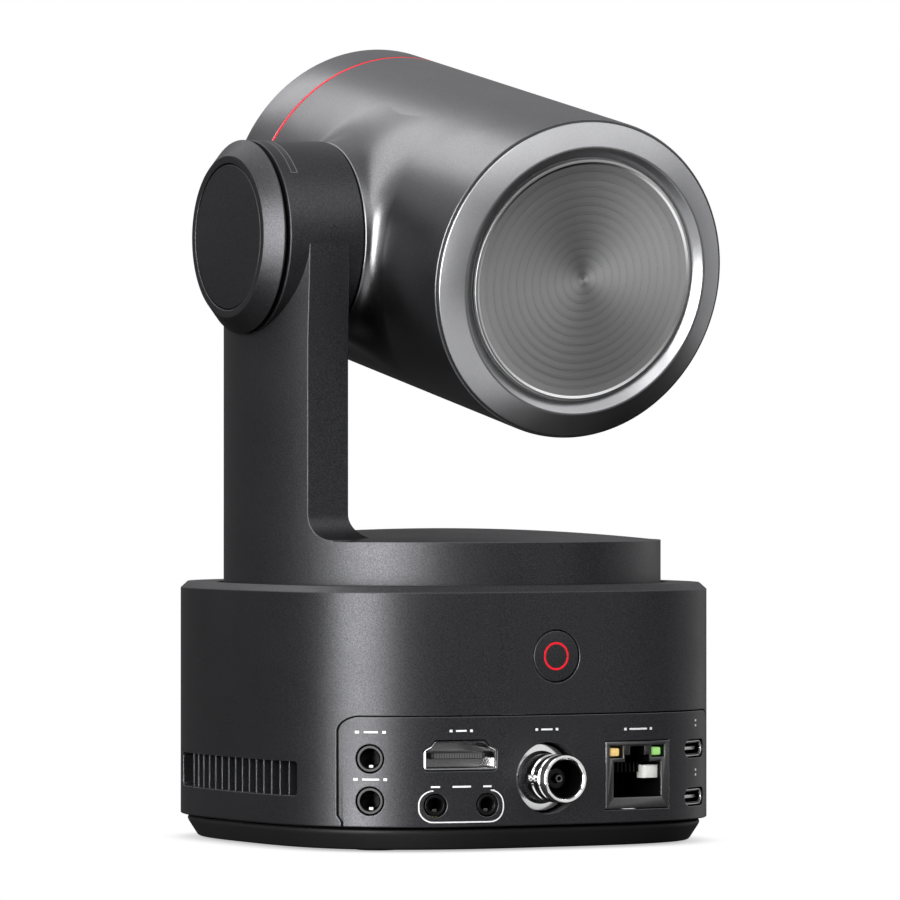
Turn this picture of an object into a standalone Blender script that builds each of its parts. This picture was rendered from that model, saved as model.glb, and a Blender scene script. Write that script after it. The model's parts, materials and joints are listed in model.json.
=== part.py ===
"""Pan-tilt-zoom camera on a square base, as an assembly of separate pieces.

Frame: the origin is on the floor under the pan axis, +Z is up, the lens looks along -Y,
the socket panel faces +Y, and the arm that carries the head stands on the +X side.
Every length below is in millimetres; make_object() turns them into metres.

Moving groups: the yoke pans about +Z, the head tilts about the hub's axis, the front of
the head rolls about the lens axis, two lens groups slide, the record button is pressed
and the blower turns.
"""

import math

import bmesh
import bpy
from mathutils import Matrix, Vector

MM = 0.001
CLEAR = 0.3          # gap kept between neighbouring pieces
FINE = 56            # sides of the large round shapes
MEDIUM = 30          # sides of the middling ones
SMALL = 16           # sides of sockets and other small round pieces
BASE_POINTS = 64     # points of the base's outline

# ---- base ----
BASE_HALF = 48.8     # from the pan axis to the middle of a side
BASE_POWER = 3.16    # exponent of the superellipse that the base follows in plan
SEAM_Z = 4.9         # lower edge of the wall, where the dark foot begins
BASE_TOP_Z = 52.9
TOP_CHAMFER = 1.35
WALL = 2.2
TOP_HOLE_R = 46.3
FOOT_TOP_INSET = 0.8
FOOT_LOW_INSET = 3.3
FOOT_LIFT = 0.3      # the cover's underside above the floor; the rubber feet reach it
DECK_Z = 46.0
DECK_T = 2.0
FOOT_PAD_R = 5.0
FOOT_PAD_OFFSET = 31.0
INSERT_R = 4.75      # tripod insert, a quarter-inch socket
INSERT_BORE_R = 3.0
INSERT_TOP_Z = 7.2

# ---- socket panel, with heights above the floor ----
PANEL_HALF_X = 42.2
PANEL_TOP_Z = SEAM_Z + 22.0
PANEL_CORNER = 3.0
JACK_X = 37.6
MIC_Z = SEAM_Z + 13.7
LINE_Z = SEAM_Z + 5.3
SERIAL_IN_X = 26.2
SERIAL_OUT_X = 15.5
SERIAL_Z = SEAM_Z + 4.4
VIDEO_X = 21.0
VIDEO_Z = SEAM_Z + 14.3
VIDEO_W = 15.0
VIDEO_H = 5.8
COAX_X = 1.8
COAX_Z = SEAM_Z + 9.5
COAX_WELL_R = 7.2
COAX_REACH = 7.2     # how far the coaxial barrel stands out of the wall
NETWORK_X = -19.3
NETWORK_Z = SEAM_Z + 9.65
NETWORK_W = 16.0
NETWORK_H = 13.5
POWER_X = -36.1
POWER_Z = (SEAM_Z + 14.4, SEAM_Z + 4.6)
POWER_W = 8.9
POWER_H = 3.2
BUTTON_Z = SEAM_Z + 33.8
BUTTON_R = 5.1
BUTTON_TRAVEL = 0.5

# ---- side vents ----
VENT_HALF_Y = 26.0
VENT_LOW_Z = SEAM_Z + 5.9
VENT_TOP_Z = SEAM_Z + 12.8
RIB_PITCH = 3.1
RIB_COUNT = 15
RIB_T = 0.6

# ---- yoke ----
TABLE_R = 45.0
TABLE_LOW_Z = 49.5
TABLE_RIM_Z = 61.4
DOME_RISE = 2.4
ARM_R = 44.7
ARM_INNER_X = 31.8
ARM_HALF_Y = 19.1
ARM_FILLET = 5.2
TILT_Z = 123.2
HUB_R = 19.7
HUB_INNER_X = 28.2
HUB_OUTER_X = 44.8
HUB_CAP_X = 49.3
HUB_FACE_R = 16.4
HUB_DISC_R = 14.65
TALLY_X = (41.0, 42.4)   # the status strip's slot, across and round the hub
TALLY_TURN = 50          # degrees from the top towards the rear

# ---- head, in its own frame: origin on the tilt axis, +Y to the rear along the lens axis ----
HEAD_PITCH = 11.15   # degrees the lens looks up at rest
HEAD_X = -7.35       # the lens axis passes this far from the pan axis
HEAD_R = 32.6
HEAD_WALL = 2.2
HEAD_REAR = 45.8
HEAD_SEAM = -37.2    # where the red ring sits, ahead of the tilt axis
RING_W = 0.6
HEAD_FRONT = -49.1
BOSS_END_X = 27.9
BEZEL_IN_R = 27.4
BEZEL_RISE = 2.6
REAR_DISC_R = 24.6


# ---------------------------------------------------------------- materials

def material(name, colour, roughness, metallic):
    """A Principled BSDF with one colour, roughness and metallic value."""
    made = bpy.data.materials.new(name)
    made.use_nodes = True
    shader = made.node_tree.nodes["Principled BSDF"]
    shader.inputs["Base Color"].default_value = (*colour, 1.0)
    shader.inputs["Roughness"].default_value = roughness
    shader.inputs["Metallic"].default_value = metallic
    made.diffuse_color = (*colour, 1.0)
    return made


def all_materials():
    """The finishes used on the camera, by name."""
    return {
        "graphite": material("graphite", (0.060, 0.060, 0.065), 0.42, 0.7),
        "head_metal": material("head_metal", (0.130, 0.130, 0.138), 0.38, 0.8),
        "satin_rim": material("satin_rim", (0.300, 0.300, 0.310), 0.30, 0.9),
        "turned_metal": material("turned_metal", (0.230, 0.230, 0.240), 0.28, 0.95),
        "foot_black": material("foot_black", (0.012, 0.012, 0.014), 0.60, 0.0),
        "rubber": material("rubber", (0.020, 0.020, 0.020), 0.90, 0.0),
        "black_plastic": material("black_plastic", (0.015, 0.015, 0.016), 0.50, 0.0),
        "white_plastic": material("white_plastic", (0.700, 0.700, 0.680), 0.50, 0.0),
        "chrome": material("chrome", (0.800, 0.800, 0.800), 0.12, 1.0),
        "steel": material("steel", (0.450, 0.450, 0.460), 0.35, 1.0),
        "jack_metal": material("jack_metal", (0.180, 0.180, 0.190), 0.40, 1.0),
        "brass": material("brass", (0.600, 0.430, 0.180), 0.30, 1.0),
        "copper": material("copper", (0.550, 0.250, 0.120), 0.40, 1.0),
        "aluminium": material("aluminium", (0.550, 0.550, 0.560), 0.40, 1.0),
        "circuit_green": material("circuit_green", (0.020, 0.130, 0.060), 0.50, 0.0),
        "cell_wrap": material("cell_wrap", (0.080, 0.100, 0.140), 0.50, 0.0),
        "accent_red": material("accent_red", (0.700, 0.010, 0.025), 0.35, 0.0),
        "lamp_amber": material("lamp_amber", (0.800, 0.480, 0.050), 0.30, 0.0),
        "lamp_green": material("lamp_green", (0.120, 0.620, 0.080), 0.30, 0.0),
        "smoked": material("smoked", (0.030, 0.030, 0.035), 0.20, 0.0),
        "glass": material("glass", (0.030, 0.035, 0.060), 0.05, 0.0),
    }


# ---------------------------------------------------------------- outlines

def circle(radius, count):
    """Points of a circle, as (u, v) pairs."""
    return [(radius * math.cos(math.tau * i / count), radius * math.sin(math.tau * i / count))
            for i in range(count)]


def arc(centre_u, centre_v, radius, start, stop, steps):
    """Points of an arc between two angles in degrees."""
    angles = [math.radians(start + (stop - start) * k / steps) for k in range(steps + 1)]
    return [(centre_u + radius * math.cos(a), centre_v + radius * math.sin(a)) for a in angles]


def rectangle(low_u, high_u, low_v, high_v):
    """The four corners of a rectangle."""
    return [(low_u, low_v), (high_u, low_v), (high_u, high_v), (low_u, high_v)]


def rounded(corners, radius, steps):
    """The outline through corners with each one rounded off by an arc."""
    points = []
    for i, corner in enumerate(corners):
        here = Vector(corner)
        before = (Vector(corners[i - 1]) - here).normalized()
        after = (Vector(corners[(i + 1) % len(corners)]) - here).normalized()
        half = before.angle(after) / 2
        centre = here + (before + after).normalized() * radius / math.sin(half)
        start = here + before * radius / math.tan(half) - centre
        turn = start.angle_signed(here + after * radius / math.tan(half) - centre)
        for k in range(steps + 1):
            arm = Matrix.Rotation(-turn * k / steps, 2) @ start
            points.append(tuple(centre + arm))
    return points


def stadium(width, height, steps):
    """A slot outline with half-round ends."""
    return rounded(rectangle(-width / 2, width / 2, -height / 2, height / 2), height / 2 - 0.1, steps)


def inset(outline, amount):
    """The outline moved inwards by amount, with the same number of points."""
    moved = []
    for i, point in enumerate(outline):
        here = Vector(point)
        before = (here - Vector(outline[i - 1])).normalized()
        after = (Vector(outline[(i + 1) % len(outline)]) - here).normalized()
        normal_a = Vector((-before.y, before.x))
        normal_b = Vector((-after.y, after.x))
        normal = (normal_a + normal_b).normalized()
        moved.append(tuple(here + normal * amount / max(normal.dot(normal_a), 0.5)))
    return moved


def superellipse(half, count):
    """The base's plan outline, with half its width at the middle of a side."""
    points = []
    for i in range(count):
        angle = math.tau * i / count
        c, s = math.cos(angle), math.sin(angle)
        radius = half / (abs(c) ** BASE_POWER + abs(s) ** BASE_POWER) ** (1 / BASE_POWER)
        points.append((radius * c, radius * s))
    return points


def wall_y(x, half=BASE_HALF):
    """Distance of the wall from the X axis at x; the plan is the same either way round."""
    return half * (1 - (abs(x) / half) ** BASE_POWER) ** (1 / BASE_POWER)


# ---------------------------------------------------------------- meshes

def stack(rings, closed=False):
    """A body through rings of points. A closed stack joins its last ring to its first;
    an open one is capped at both ends."""
    made = bmesh.new()
    rows = [[made.verts.new(Vector(point) * MM) for point in ring] for ring in rings]
    pairs = list(zip(rows, rows[1:]))
    if closed:
        pairs.append((rows[-1], rows[0]))
    for low, high in pairs:
        for i in range(len(low)):
            j = (i + 1) % len(low)
            made.faces.new((low[i], low[j], high[j], high[i]))
    if not closed:
        made.faces.new(rows[0])
        made.faces.new(rows[-1])
    bmesh.ops.recalc_face_normals(made, faces=made.faces)
    return made


def along(axis, u, v, height):
    """A point from two coordinates across an axis and one along it."""
    return {"X": (height, u, v), "Y": (u, height, v), "Z": (u, v, height)}[axis]


def prism(outline, low, high, axis="Z"):
    """An outline extruded from low to high along an axis."""
    return stack([[along(axis, u, v, h) for u, v in outline] for h in (low, high)])


def block(x, y, z):
    """A box from three (low, high) pairs."""
    return prism(rectangle(*x, *y), *z)


def lathe(profile, count, axis="Z", closed=False):
    """A turned body from (radius, height) points about an axis through the origin."""
    return stack([[along(axis, u, v, h) for u, v in circle(r, count)] for r, h in profile], closed)


def tube(outer, inner, low, high, count, axis="Z"):
    """A plain ring."""
    return lathe([(outer, low), (outer, high), (inner, high), (inner, low)], count, axis, True)


def cup(outline, wall, mouth, floor, back, axis="Y"):
    """A pocketed body: outline outside, the same inset by wall inside, open at the mouth."""
    inner = inset(outline, wall)
    return stack([[along(axis, u, v, h) for u, v in shape]
                  for shape, h in ((inner, floor), (inner, mouth), (outline, mouth), (outline, back))])


def grid_plate(us, vs, is_solid, corner):
    """A plate of cells between the lines us and vs. corner(u, v, side) gives a point of its
    front (side 1) or back (side 0); cells where is_solid(i, j) is false are open."""
    made = bmesh.new()
    known = {}

    def vert(i, j, side):
        key = (i, j, side)
        if key not in known:
            known[key] = made.verts.new(Vector(corner(us[i], vs[j], side)) * MM)
        return known[key]

    def filled(i, j):
        return 0 <= i < len(us) - 1 and 0 <= j < len(vs) - 1 and is_solid(i, j)

    for i in range(len(us) - 1):
        for j in range(len(vs) - 1):
            if not filled(i, j):
                continue
            for side in (0, 1):
                made.faces.new([vert(i, j, side), vert(i + 1, j, side),
                                vert(i + 1, j + 1, side), vert(i, j + 1, side)])
            edges = (((i - 1, j), (i, j), (i, j + 1)), ((i + 1, j), (i + 1, j), (i + 1, j + 1)),
                     ((i, j - 1), (i, j), (i + 1, j)), ((i, j + 1), (i, j + 1), (i + 1, j + 1)))
            for neighbour, a, b in edges:
                if not filled(*neighbour):
                    made.faces.new([vert(*a, 0), vert(*b, 0), vert(*b, 1), vert(*a, 1)])
    bmesh.ops.recalc_face_normals(made, faces=made.faces)
    return made


def comb(width, base, depth, teeth, tooth):
    """A heat sink's section: a base with teeth standing on it, as (u, v) points."""
    gap = (width - teeth * tooth) / (teeth - 1)
    points = [(width / 2, 0), (-width / 2, 0)]
    for i in range(teeth):
        left = -width / 2 + i * (tooth + gap)
        points += [(left, base if i else 0.01), (left, depth), (left + tooth, depth)]
        points.append((left + tooth, base if i < teeth - 1 else 0.01))
    return points


# ---------------------------------------------------------------- objects

def make_object(name, made, finish, parent=None, matrix=None):
    """Puts a finished bmesh in the scene, smooth except at its edges."""
    mesh = bpy.data.meshes.new(name)
    made.to_mesh(mesh)
    made.free()
    mesh.shade_smooth()
    mesh.set_sharp_from_angle(angle=math.radians(30))
    obj = bpy.data.objects.new(name, mesh)
    bpy.context.scene.collection.objects.link(obj)
    if finish:
        mesh.materials.append(finish)
    obj.parent = parent
    if matrix:
        obj.matrix_basis = matrix
    return obj


def shape(obj, made, operation="DIFFERENCE", matrix=None):
    """Cuts obj with a body, or joins or intersects it, through an exact Boolean."""
    tool = make_object(f"{obj.name}_tool_{len(obj.modifiers)}", made, None, obj.parent,
                       matrix or obj.matrix_basis.copy())
    tool.hide_render = True
    tool.display_type = "WIRE"
    step = obj.modifiers.new(tool.name, "BOOLEAN")
    step.operation = operation
    step.solver = "EXACT"
    step.object = tool
    return tool


def shift(x=0.0, y=0.0, z=0.0):
    """A translation, from millimetres."""
    return Matrix.Translation(Vector((x, y, z)) * MM)


def empty(name, matrix, parent=None):
    """An axis that a moving group hangs on."""
    obj = bpy.data.objects.new(name, None)
    bpy.context.scene.collection.objects.link(obj)
    obj.parent = parent
    obj.matrix_basis = matrix
    return obj


def wall_frame(x, z, half_width):
    """A frame on the rear wall: +Y out of it, +X along the chord across x +- half_width."""
    left, right = wall_y(x - half_width), wall_y(x + half_width)
    turn = math.atan2(right - left, 2 * half_width)
    return shift(x, (left + right) / 2, z) @ Matrix.Rotation(turn, 4, "Z")


# ---------------------------------------------------------------- base: shells

def base_shell(low_z):
    """The wall as a ring: rounded lower edge, chamfered top and a flat lip inwards."""
    edge = ((0.6, 0.0), (0.2, 0.3), (0.0, 0.8))
    rings = [(superellipse(BASE_HALF - d, BASE_POINTS), low_z + h) for d, h in edge]
    rings.append((superellipse(BASE_HALF, BASE_POINTS), BASE_TOP_Z - TOP_CHAMFER))
    rings.append((superellipse(BASE_HALF - TOP_CHAMFER, BASE_POINTS), BASE_TOP_Z))
    rings.append((circle(TOP_HOLE_R, BASE_POINTS), BASE_TOP_Z))
    rings.append((circle(TOP_HOLE_R, BASE_POINTS), BASE_TOP_Z - 2.0))
    inner = superellipse(BASE_HALF - WALL, BASE_POINTS)
    rings.append((inner, BASE_TOP_Z - 2.0))
    rings.append((inner, low_z))
    return stack([[(x, y, z) for x, y in ring] for ring, z in rings], closed=True)


def panel_outline(grow):
    """The socket panel's edge: rounded above, stepping in just over the seam."""
    side, top, r = PANEL_HALF_X + grow, PANEL_TOP_Z + grow, PANEL_CORNER + grow
    foot = [(side - 0.6, SEAM_Z - 2), (side - 0.6, SEAM_Z + 1.0), (side, SEAM_Z + 2.4)]
    return ([(-foot[0][0], foot[0][1])] + foot + arc(side - r, top - r, r, 0, 90, 5)
            + arc(-side + r, top - r, r, 90, 180, 5) + [(-x, z) for x, z in foot[:0:-1]])


def jack_positions():
    """Each round socket: name, x, z, outer radius and bore radius."""
    return (("mic_jack", JACK_X, MIC_Z, 2.7, 1.8), ("line_jack", JACK_X, LINE_Z, 2.7, 1.8),
            ("serial_in_jack", SERIAL_IN_X, SERIAL_Z, 2.15, 1.3),
            ("serial_out_jack", SERIAL_OUT_X, SERIAL_Z, 2.15, 1.3))


def video_outline():
    """The video socket: full width below, shouldered in above."""
    w, h = VIDEO_W / 2, VIDEO_H / 2
    return [(-w + 0.6, -h), (w - 0.6, -h), (w, -h + 0.6), (w, h - 1.9), (w - 1.4, h - 1.2),
            (w - 2.3, h), (-w + 2.3, h), (-w + 1.4, h - 1.2), (-w, h - 1.9), (-w, -h + 0.6)]


def make_base_housing(m):
    """The outer wall, open below, with windows for the panel, the vents and the button."""
    housing = make_object("base_housing", base_shell(SEAM_Z), m["graphite"])
    shape(housing, prism([(x, z) for x, z in panel_outline(CLEAR)], 25, 60, "Y"))
    vent = rounded(rectangle(-VENT_HALF_Y, VENT_HALF_Y, VENT_LOW_Z, VENT_TOP_Z), 1.0, 3)
    shape(housing, prism(vent, -60, 60, "X"))
    shape(housing, prism(circle(BUTTON_R + CLEAR, SMALL), 40, 60, "Y"), matrix=shift(z=BUTTON_Z))


def make_io_panel(m):
    """The separate panel that carries the sockets, with the coaxial socket's well."""
    panel = make_object("io_panel", base_shell(SEAM_Z), m["graphite"])
    well = lathe([(COAX_WELL_R + 1.0, 41.0), (COAX_WELL_R + 1.0, 47.5)], MEDIUM, "Y")
    shape(panel, well, "UNION", shift(COAX_X, 0, COAX_Z))
    shape(panel, prism(panel_outline(0), 25, 60, "Y"), "INTERSECT")
    shape(panel, prism(circle(COAX_WELL_R, MEDIUM), 30, 60, "Y"), matrix=shift(COAX_X, 0, COAX_Z))
    for _, x, z, outer, _ in jack_positions():
        hole = prism(circle(outer + CLEAR, SMALL), -8, 8, "Y")
        shape(panel, hole, matrix=wall_frame(x, z, outer))
    video = inset(video_outline(), -CLEAR)
    shape(panel, prism(video, -8, 8, "Y"), matrix=wall_frame(VIDEO_X, VIDEO_Z, VIDEO_W / 2))
    network = rectangle(-NETWORK_W / 2 - CLEAR, NETWORK_W / 2 + CLEAR,
                        -NETWORK_H / 2 - CLEAR, NETWORK_H / 2 + CLEAR)
    shape(panel, prism(network, -8, 8, "Y"),
          matrix=wall_frame(NETWORK_X, NETWORK_Z, NETWORK_W / 2))
    for z in POWER_Z:
        slot = prism(stadium(POWER_W + 2 * CLEAR, POWER_H + 2 * CLEAR, 5), -8, 8, "Y")
        shape(panel, slot, matrix=wall_frame(POWER_X, z, 3.0))


def make_bottom_cover(m):
    """The dark foot: a slanted skirt with a closing plate and recesses for the feet."""
    low, top = FOOT_LIFT, SEAM_Z - CLEAR
    outer = ((FOOT_LOW_INSET + 0.8, low), (FOOT_LOW_INSET + 0.1, low + 0.3),
             (FOOT_LOW_INSET - 0.3, low + 0.8), (FOOT_TOP_INSET, top), (6.0, top), (6.0, top - 1.5))
    rings = [[(x, y, z) for x, y in superellipse(BASE_HALF - d, BASE_POINTS)] for d, z in outer]
    cover = make_object("bottom_cover", stack(rings), m["foot_black"])
    for i, (x, y) in enumerate(foot_places()):
        recess = lathe([(FOOT_PAD_R + CLEAR, -1), (FOOT_PAD_R + CLEAR, 1.8)], SMALL)
        shape(cover, recess, matrix=shift(x, y))
        pad = lathe([(FOOT_PAD_R - 0.3, 0.0), (FOOT_PAD_R, 0.3), (FOOT_PAD_R, 1.5)], SMALL)
        make_object(f"rubber_foot_{i + 1}", pad, m["rubber"], matrix=shift(x, y))
    shape(cover, lathe([(INSERT_R + CLEAR, -1), (INSERT_R + CLEAR, 9)], SMALL))
    insert = tube(INSERT_R, INSERT_BORE_R, FOOT_LIFT, INSERT_TOP_Z, SMALL)
    make_object("tripod_insert", insert, m["brass"])


def foot_places():
    """The centres of the four rubber feet."""
    return [(x * FOOT_PAD_OFFSET, y * FOOT_PAD_OFFSET)
            for x, y in ((1, 1), (-1, 1), (-1, -1), (1, -1))]


def make_vent_grille(name, side, finish):
    """A ribbed plate behind a side window, following the inside of the wall."""
    edges = [-VENT_HALF_Y]
    for k in range(RIB_COUNT):
        rib = (k - (RIB_COUNT - 1) / 2) * RIB_PITCH
        edges += [rib - RIB_T / 2, rib + RIB_T / 2]
    edges.append(VENT_HALF_Y)
    us = [-VENT_HALF_Y - 2] + edges + [VENT_HALF_Y + 2]
    vs = [VENT_LOW_Z - 1.8, VENT_LOW_Z + 0.3, VENT_TOP_Z - 0.3, VENT_TOP_Z + 1.8]

    def is_solid(i, j):
        return j != 1 or i in (0, len(us) - 2) or i % 2 == 0

    def corner(u, v, front):
        depth = CLEAR + 0.1 + (0.0 if front else 1.6)
        return (side * (wall_y(u, BASE_HALF - WALL) - depth), u, v)

    make_object(name, grid_plate(us, vs, is_solid, corner), finish)


# ---------------------------------------------------------------- base: sockets

def make_jacks(m):
    """Round audio and serial sockets, each square to the wall where it sits."""
    for name, x, z, outer, bore in jack_positions():
        profile = [(bore, -9.0), (bore, -0.5), (bore + 0.25, 0.1), (outer - 0.15, 0.15),
                   (outer, 0.0), (outer, -4.0), (outer + 0.4, -4.0), (outer + 0.4, -10.5)]
        make_object(name, lathe(profile, SMALL, "Y"), m["jack_metal"],
                    matrix=wall_frame(x, z, outer))


def make_video_port(m):
    """A shouldered socket with a contact tongue inside."""
    place = wall_frame(VIDEO_X, VIDEO_Z, VIDEO_W / 2)
    shell = cup(video_outline(), 0.45, 0.15, -9.5, -10.5)
    make_object("video_port_shell", shell, m["chrome"], matrix=place)
    tongue = block((-5.6, 5.6), (-9.2, -1.2), (-0.9, 0.5))
    make_object("video_port_tongue", tongue, m["black_plastic"], matrix=place)


def make_coax_port(m):
    """A bayonet coaxial socket: flange, barrel with two lugs, and its centre contact."""
    place = shift(COAX_X, BASE_HALF, COAX_Z)
    profile = [(4.1, -4.0), (4.1, COAX_REACH - 0.2), (4.3, COAX_REACH), (4.65, COAX_REACH),
               (4.8, COAX_REACH - 0.2), (4.8, 4.2), (4.5, 4.0), (4.5, 2.4), (4.8, 2.2),
               (4.8, -4.4), (6.8, -4.4), (6.8, -5.6), (3.0, -5.6), (3.0, -14.0)]
    body = make_object("coax_body", lathe(profile, 28, "Y"), m["chrome"], matrix=place)
    lug = lathe([(1.0, -6.0), (1.0, -4.45)], 12, "X")
    shape(body, lug, "UNION", place @ shift(0, 0.6, 0))
    other = lathe([(1.0, 4.45), (1.0, 6.0)], 12, "X")
    shape(body, other, "UNION", place @ shift(0, 0.6, 0))
    contact = [(3.6, -3.6), (3.6, -1.2), (2.3, -1.2), (2.3, 3.0), (0.7, 3.0), (0.7, 4.2)]
    make_object("coax_contact", lathe(contact, SMALL, "Y"), m["white_plastic"], matrix=place)


def make_network_port(m):
    """A square network socket with two lamps in its upper corners."""
    place = wall_frame(NETWORK_X, NETWORK_Z, NETWORK_W / 2)
    w, h = NETWORK_W / 2, NETWORK_H / 2
    shell = make_object("network_jack_shell", block((-w, w), (-15.5, 0.1), (-h, h)),
                        m["jack_metal"], matrix=place)
    cavity = [(-6.1, -h + 2.4), (6.1, -h + 2.4), (6.1, 2.6), (3.0, 2.6), (3.0, h - 0.7),
              (-3.0, h - 0.7), (-3.0, 2.6), (-6.1, 2.6)]
    shape(shell, prism(cavity, -14.5, 3, "Y"))
    for name, x in (("link_lamp_green", -5.2), ("link_lamp_amber", 5.2)):
        pocket = block((x - 1.5, x + 1.5), (-3.0, 3), (3.4, 5.9))
        shape(shell, pocket)
        lamp = block((x - 1.2, x + 1.2), (-2.6, -0.3), (3.7, 5.6))
        make_object(name, lamp, m["lamp_" + name.split("_")[-1]], matrix=place)
    us = [-4.6]
    for k in range(8):
        us += [-4.4 + k * 1.16, -4.4 + k * 1.16 + 0.5]
    us.append(4.6)
    contacts = grid_plate(us, [-14.2, -13.0, -6.5, -5.7],
                          lambda i, j: j != 1 or i % 2 == 1,
                          lambda u, v, front: (u, v, 1.6 + 0.35 * front))
    make_object("network_jack_contacts", contacts, m["brass"], matrix=place)


def make_power_ports(m):
    """Two small rounded sockets, each with its tongue, set back in the panel."""
    for name, z in zip(("power_port_upper", "power_port_lower"), POWER_Z):
        shell = cup(stadium(POWER_W, POWER_H, 5), 0.3, -0.9, -7.0, -8.0)
        port = make_object(name, shell, m["steel"], matrix=wall_frame(POWER_X, z, 3.0))
        shape(port, block((-3.2, 3.2), (-7.5, -2.0), (-0.35, 0.35)), "UNION")


def make_record_button(m):
    """The round record button, flush with the wall, and the switch it presses."""
    axis = empty("button_axis", shift(0, BASE_HALF, BUTTON_Z))
    profile = [(BUTTON_R, -2.4), (BUTTON_R, -0.35), (BUTTON_R - 0.3, -0.05)]
    cap = [(1.6, -4.6), (1.6, -2.4)] + profile
    make_object("record_button", lathe(cap, SMALL, "Y"), m["graphite"], axis)
    switch = block((-3.0, 3.0), (-8.0, -4.6 - BUTTON_TRAVEL - 0.2), (-3.0, 3.0))
    make_object("button_switch", switch, m["black_plastic"], matrix=shift(0, BASE_HALF, BUTTON_Z))


# ---------------------------------------------------------------- base: inside

def make_base_inside(m):
    """Boards, cooling, battery, and the deck that carries the pan drive."""
    deck_rings = [[(x, y, z) for x, y in superellipse(BASE_HALF - WALL - 0.5, BASE_POINTS)]
                  for z in (DECK_Z, DECK_Z + DECK_T)]
    deck = make_object("pan_deck", stack(deck_rings), m["aluminium"])
    shape(deck, prism(circle(9.0, SMALL), DECK_Z - 5, DECK_Z + 8))
    make_object("slip_ring", tube(11.5, 8.4, 33.0, DECK_Z - CLEAR, SMALL), m["black_plastic"])
    make_object("pan_stator", tube(20.0, 9.6, DECK_Z + DECK_T + CLEAR, 56.5, MEDIUM), m["copper"])
    outer_race = tube(34.0, 30.6, DECK_Z + DECK_T + CLEAR, 53.0, MEDIUM)
    make_object("pan_bearing_outer", outer_race, m["steel"])
    board = prism(rounded(rectangle(-36, 36, -40, 27), 4, 3), 22.0, 23.6)
    make_object("main_board", board, m["circuit_green"])
    sink = prism(comb(40, 1.5, 6.5, 9, 1.2), -30, 10, "Y")
    make_object("heat_sink", sink, m["aluminium"], matrix=shift(0, 0, 23.9))
    make_object("io_board", block((-34, 34), (26.6, 28.2), (7.0, 20.5)), m["circuit_green"])
    battery = prism(rounded(rectangle(-40, -4, -34, 6), 2, 3), 8.0, 20.0)
    make_object("battery_pack", battery, m["cell_wrap"])
    make_blower(m)


def make_blower(m):
    """A flat blower that draws from above and blows through the side vent."""
    x, y = 19.5, -12.0
    housing = make_object("blower_housing", block((-19, 19), (-19, 19), (8.0, 19.0)),
                          m["black_plastic"], matrix=shift(x, y))
    shape(housing, lathe([(17.5, 9.2), (17.5, 25.0)], MEDIUM))
    shape(housing, block((8, 25), (-10, 14), (9.2, 17.8)))
    axis = empty("blower_axis", shift(x, y))
    outline = []
    blades, hub_r, tip_r, half = 11, 7.5, 16.3, 0.045
    for k in range(blades):
        turn = math.tau * k / blades
        for radius, offset in ((hub_r, -0.10), (tip_r, -half + 0.25), (tip_r, half + 0.25),
                               (hub_r, 0.10)):
            angle = turn + offset
            outline.append((radius * math.cos(angle), radius * math.sin(angle)))
    make_object("blower_rotor", prism(outline, 10.0, 17.4), m["black_plastic"], axis)


# ---------------------------------------------------------------- yoke

def arm_ring(z):
    """The arm's plan at height z: its outer face follows the turntable, and its foot
    spreads over the turntable in a hollow fillet."""
    height = max(0.0, z - TABLE_RIM_Z - 0.4)
    spread = 0.0
    if height < ARM_FILLET:
        spread = ARM_FILLET - math.sqrt(ARM_FILLET ** 2 - (ARM_FILLET - height) ** 2)
    half = ARM_HALF_Y + spread
    inner = ARM_INNER_X - spread
    reach = math.degrees(math.asin(half / ARM_R))
    outer = arc(0, 0, ARM_R, -reach, reach, 8)
    c = 0.6
    ring = ([(inner + c, half), (inner, half - c), (inner, -half + c), (inner + c, -half)] + outer)
    return [(x, y, z) for x, y in ring]


def bent_strip(low_x, high_x, low_r, high_r, start, stop, steps=5):
    """A strip bent round the hub, from start to stop degrees off the top."""
    angles = [math.radians(start + (stop - start) * k / steps) for k in range(steps + 1)]
    corners = ((low_x, low_r), (high_x, low_r), (high_x, high_r), (low_x, high_r))
    return stack([[(x, r * math.sin(a), r * math.cos(a)) for x, r in corners] for a in angles])


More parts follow.
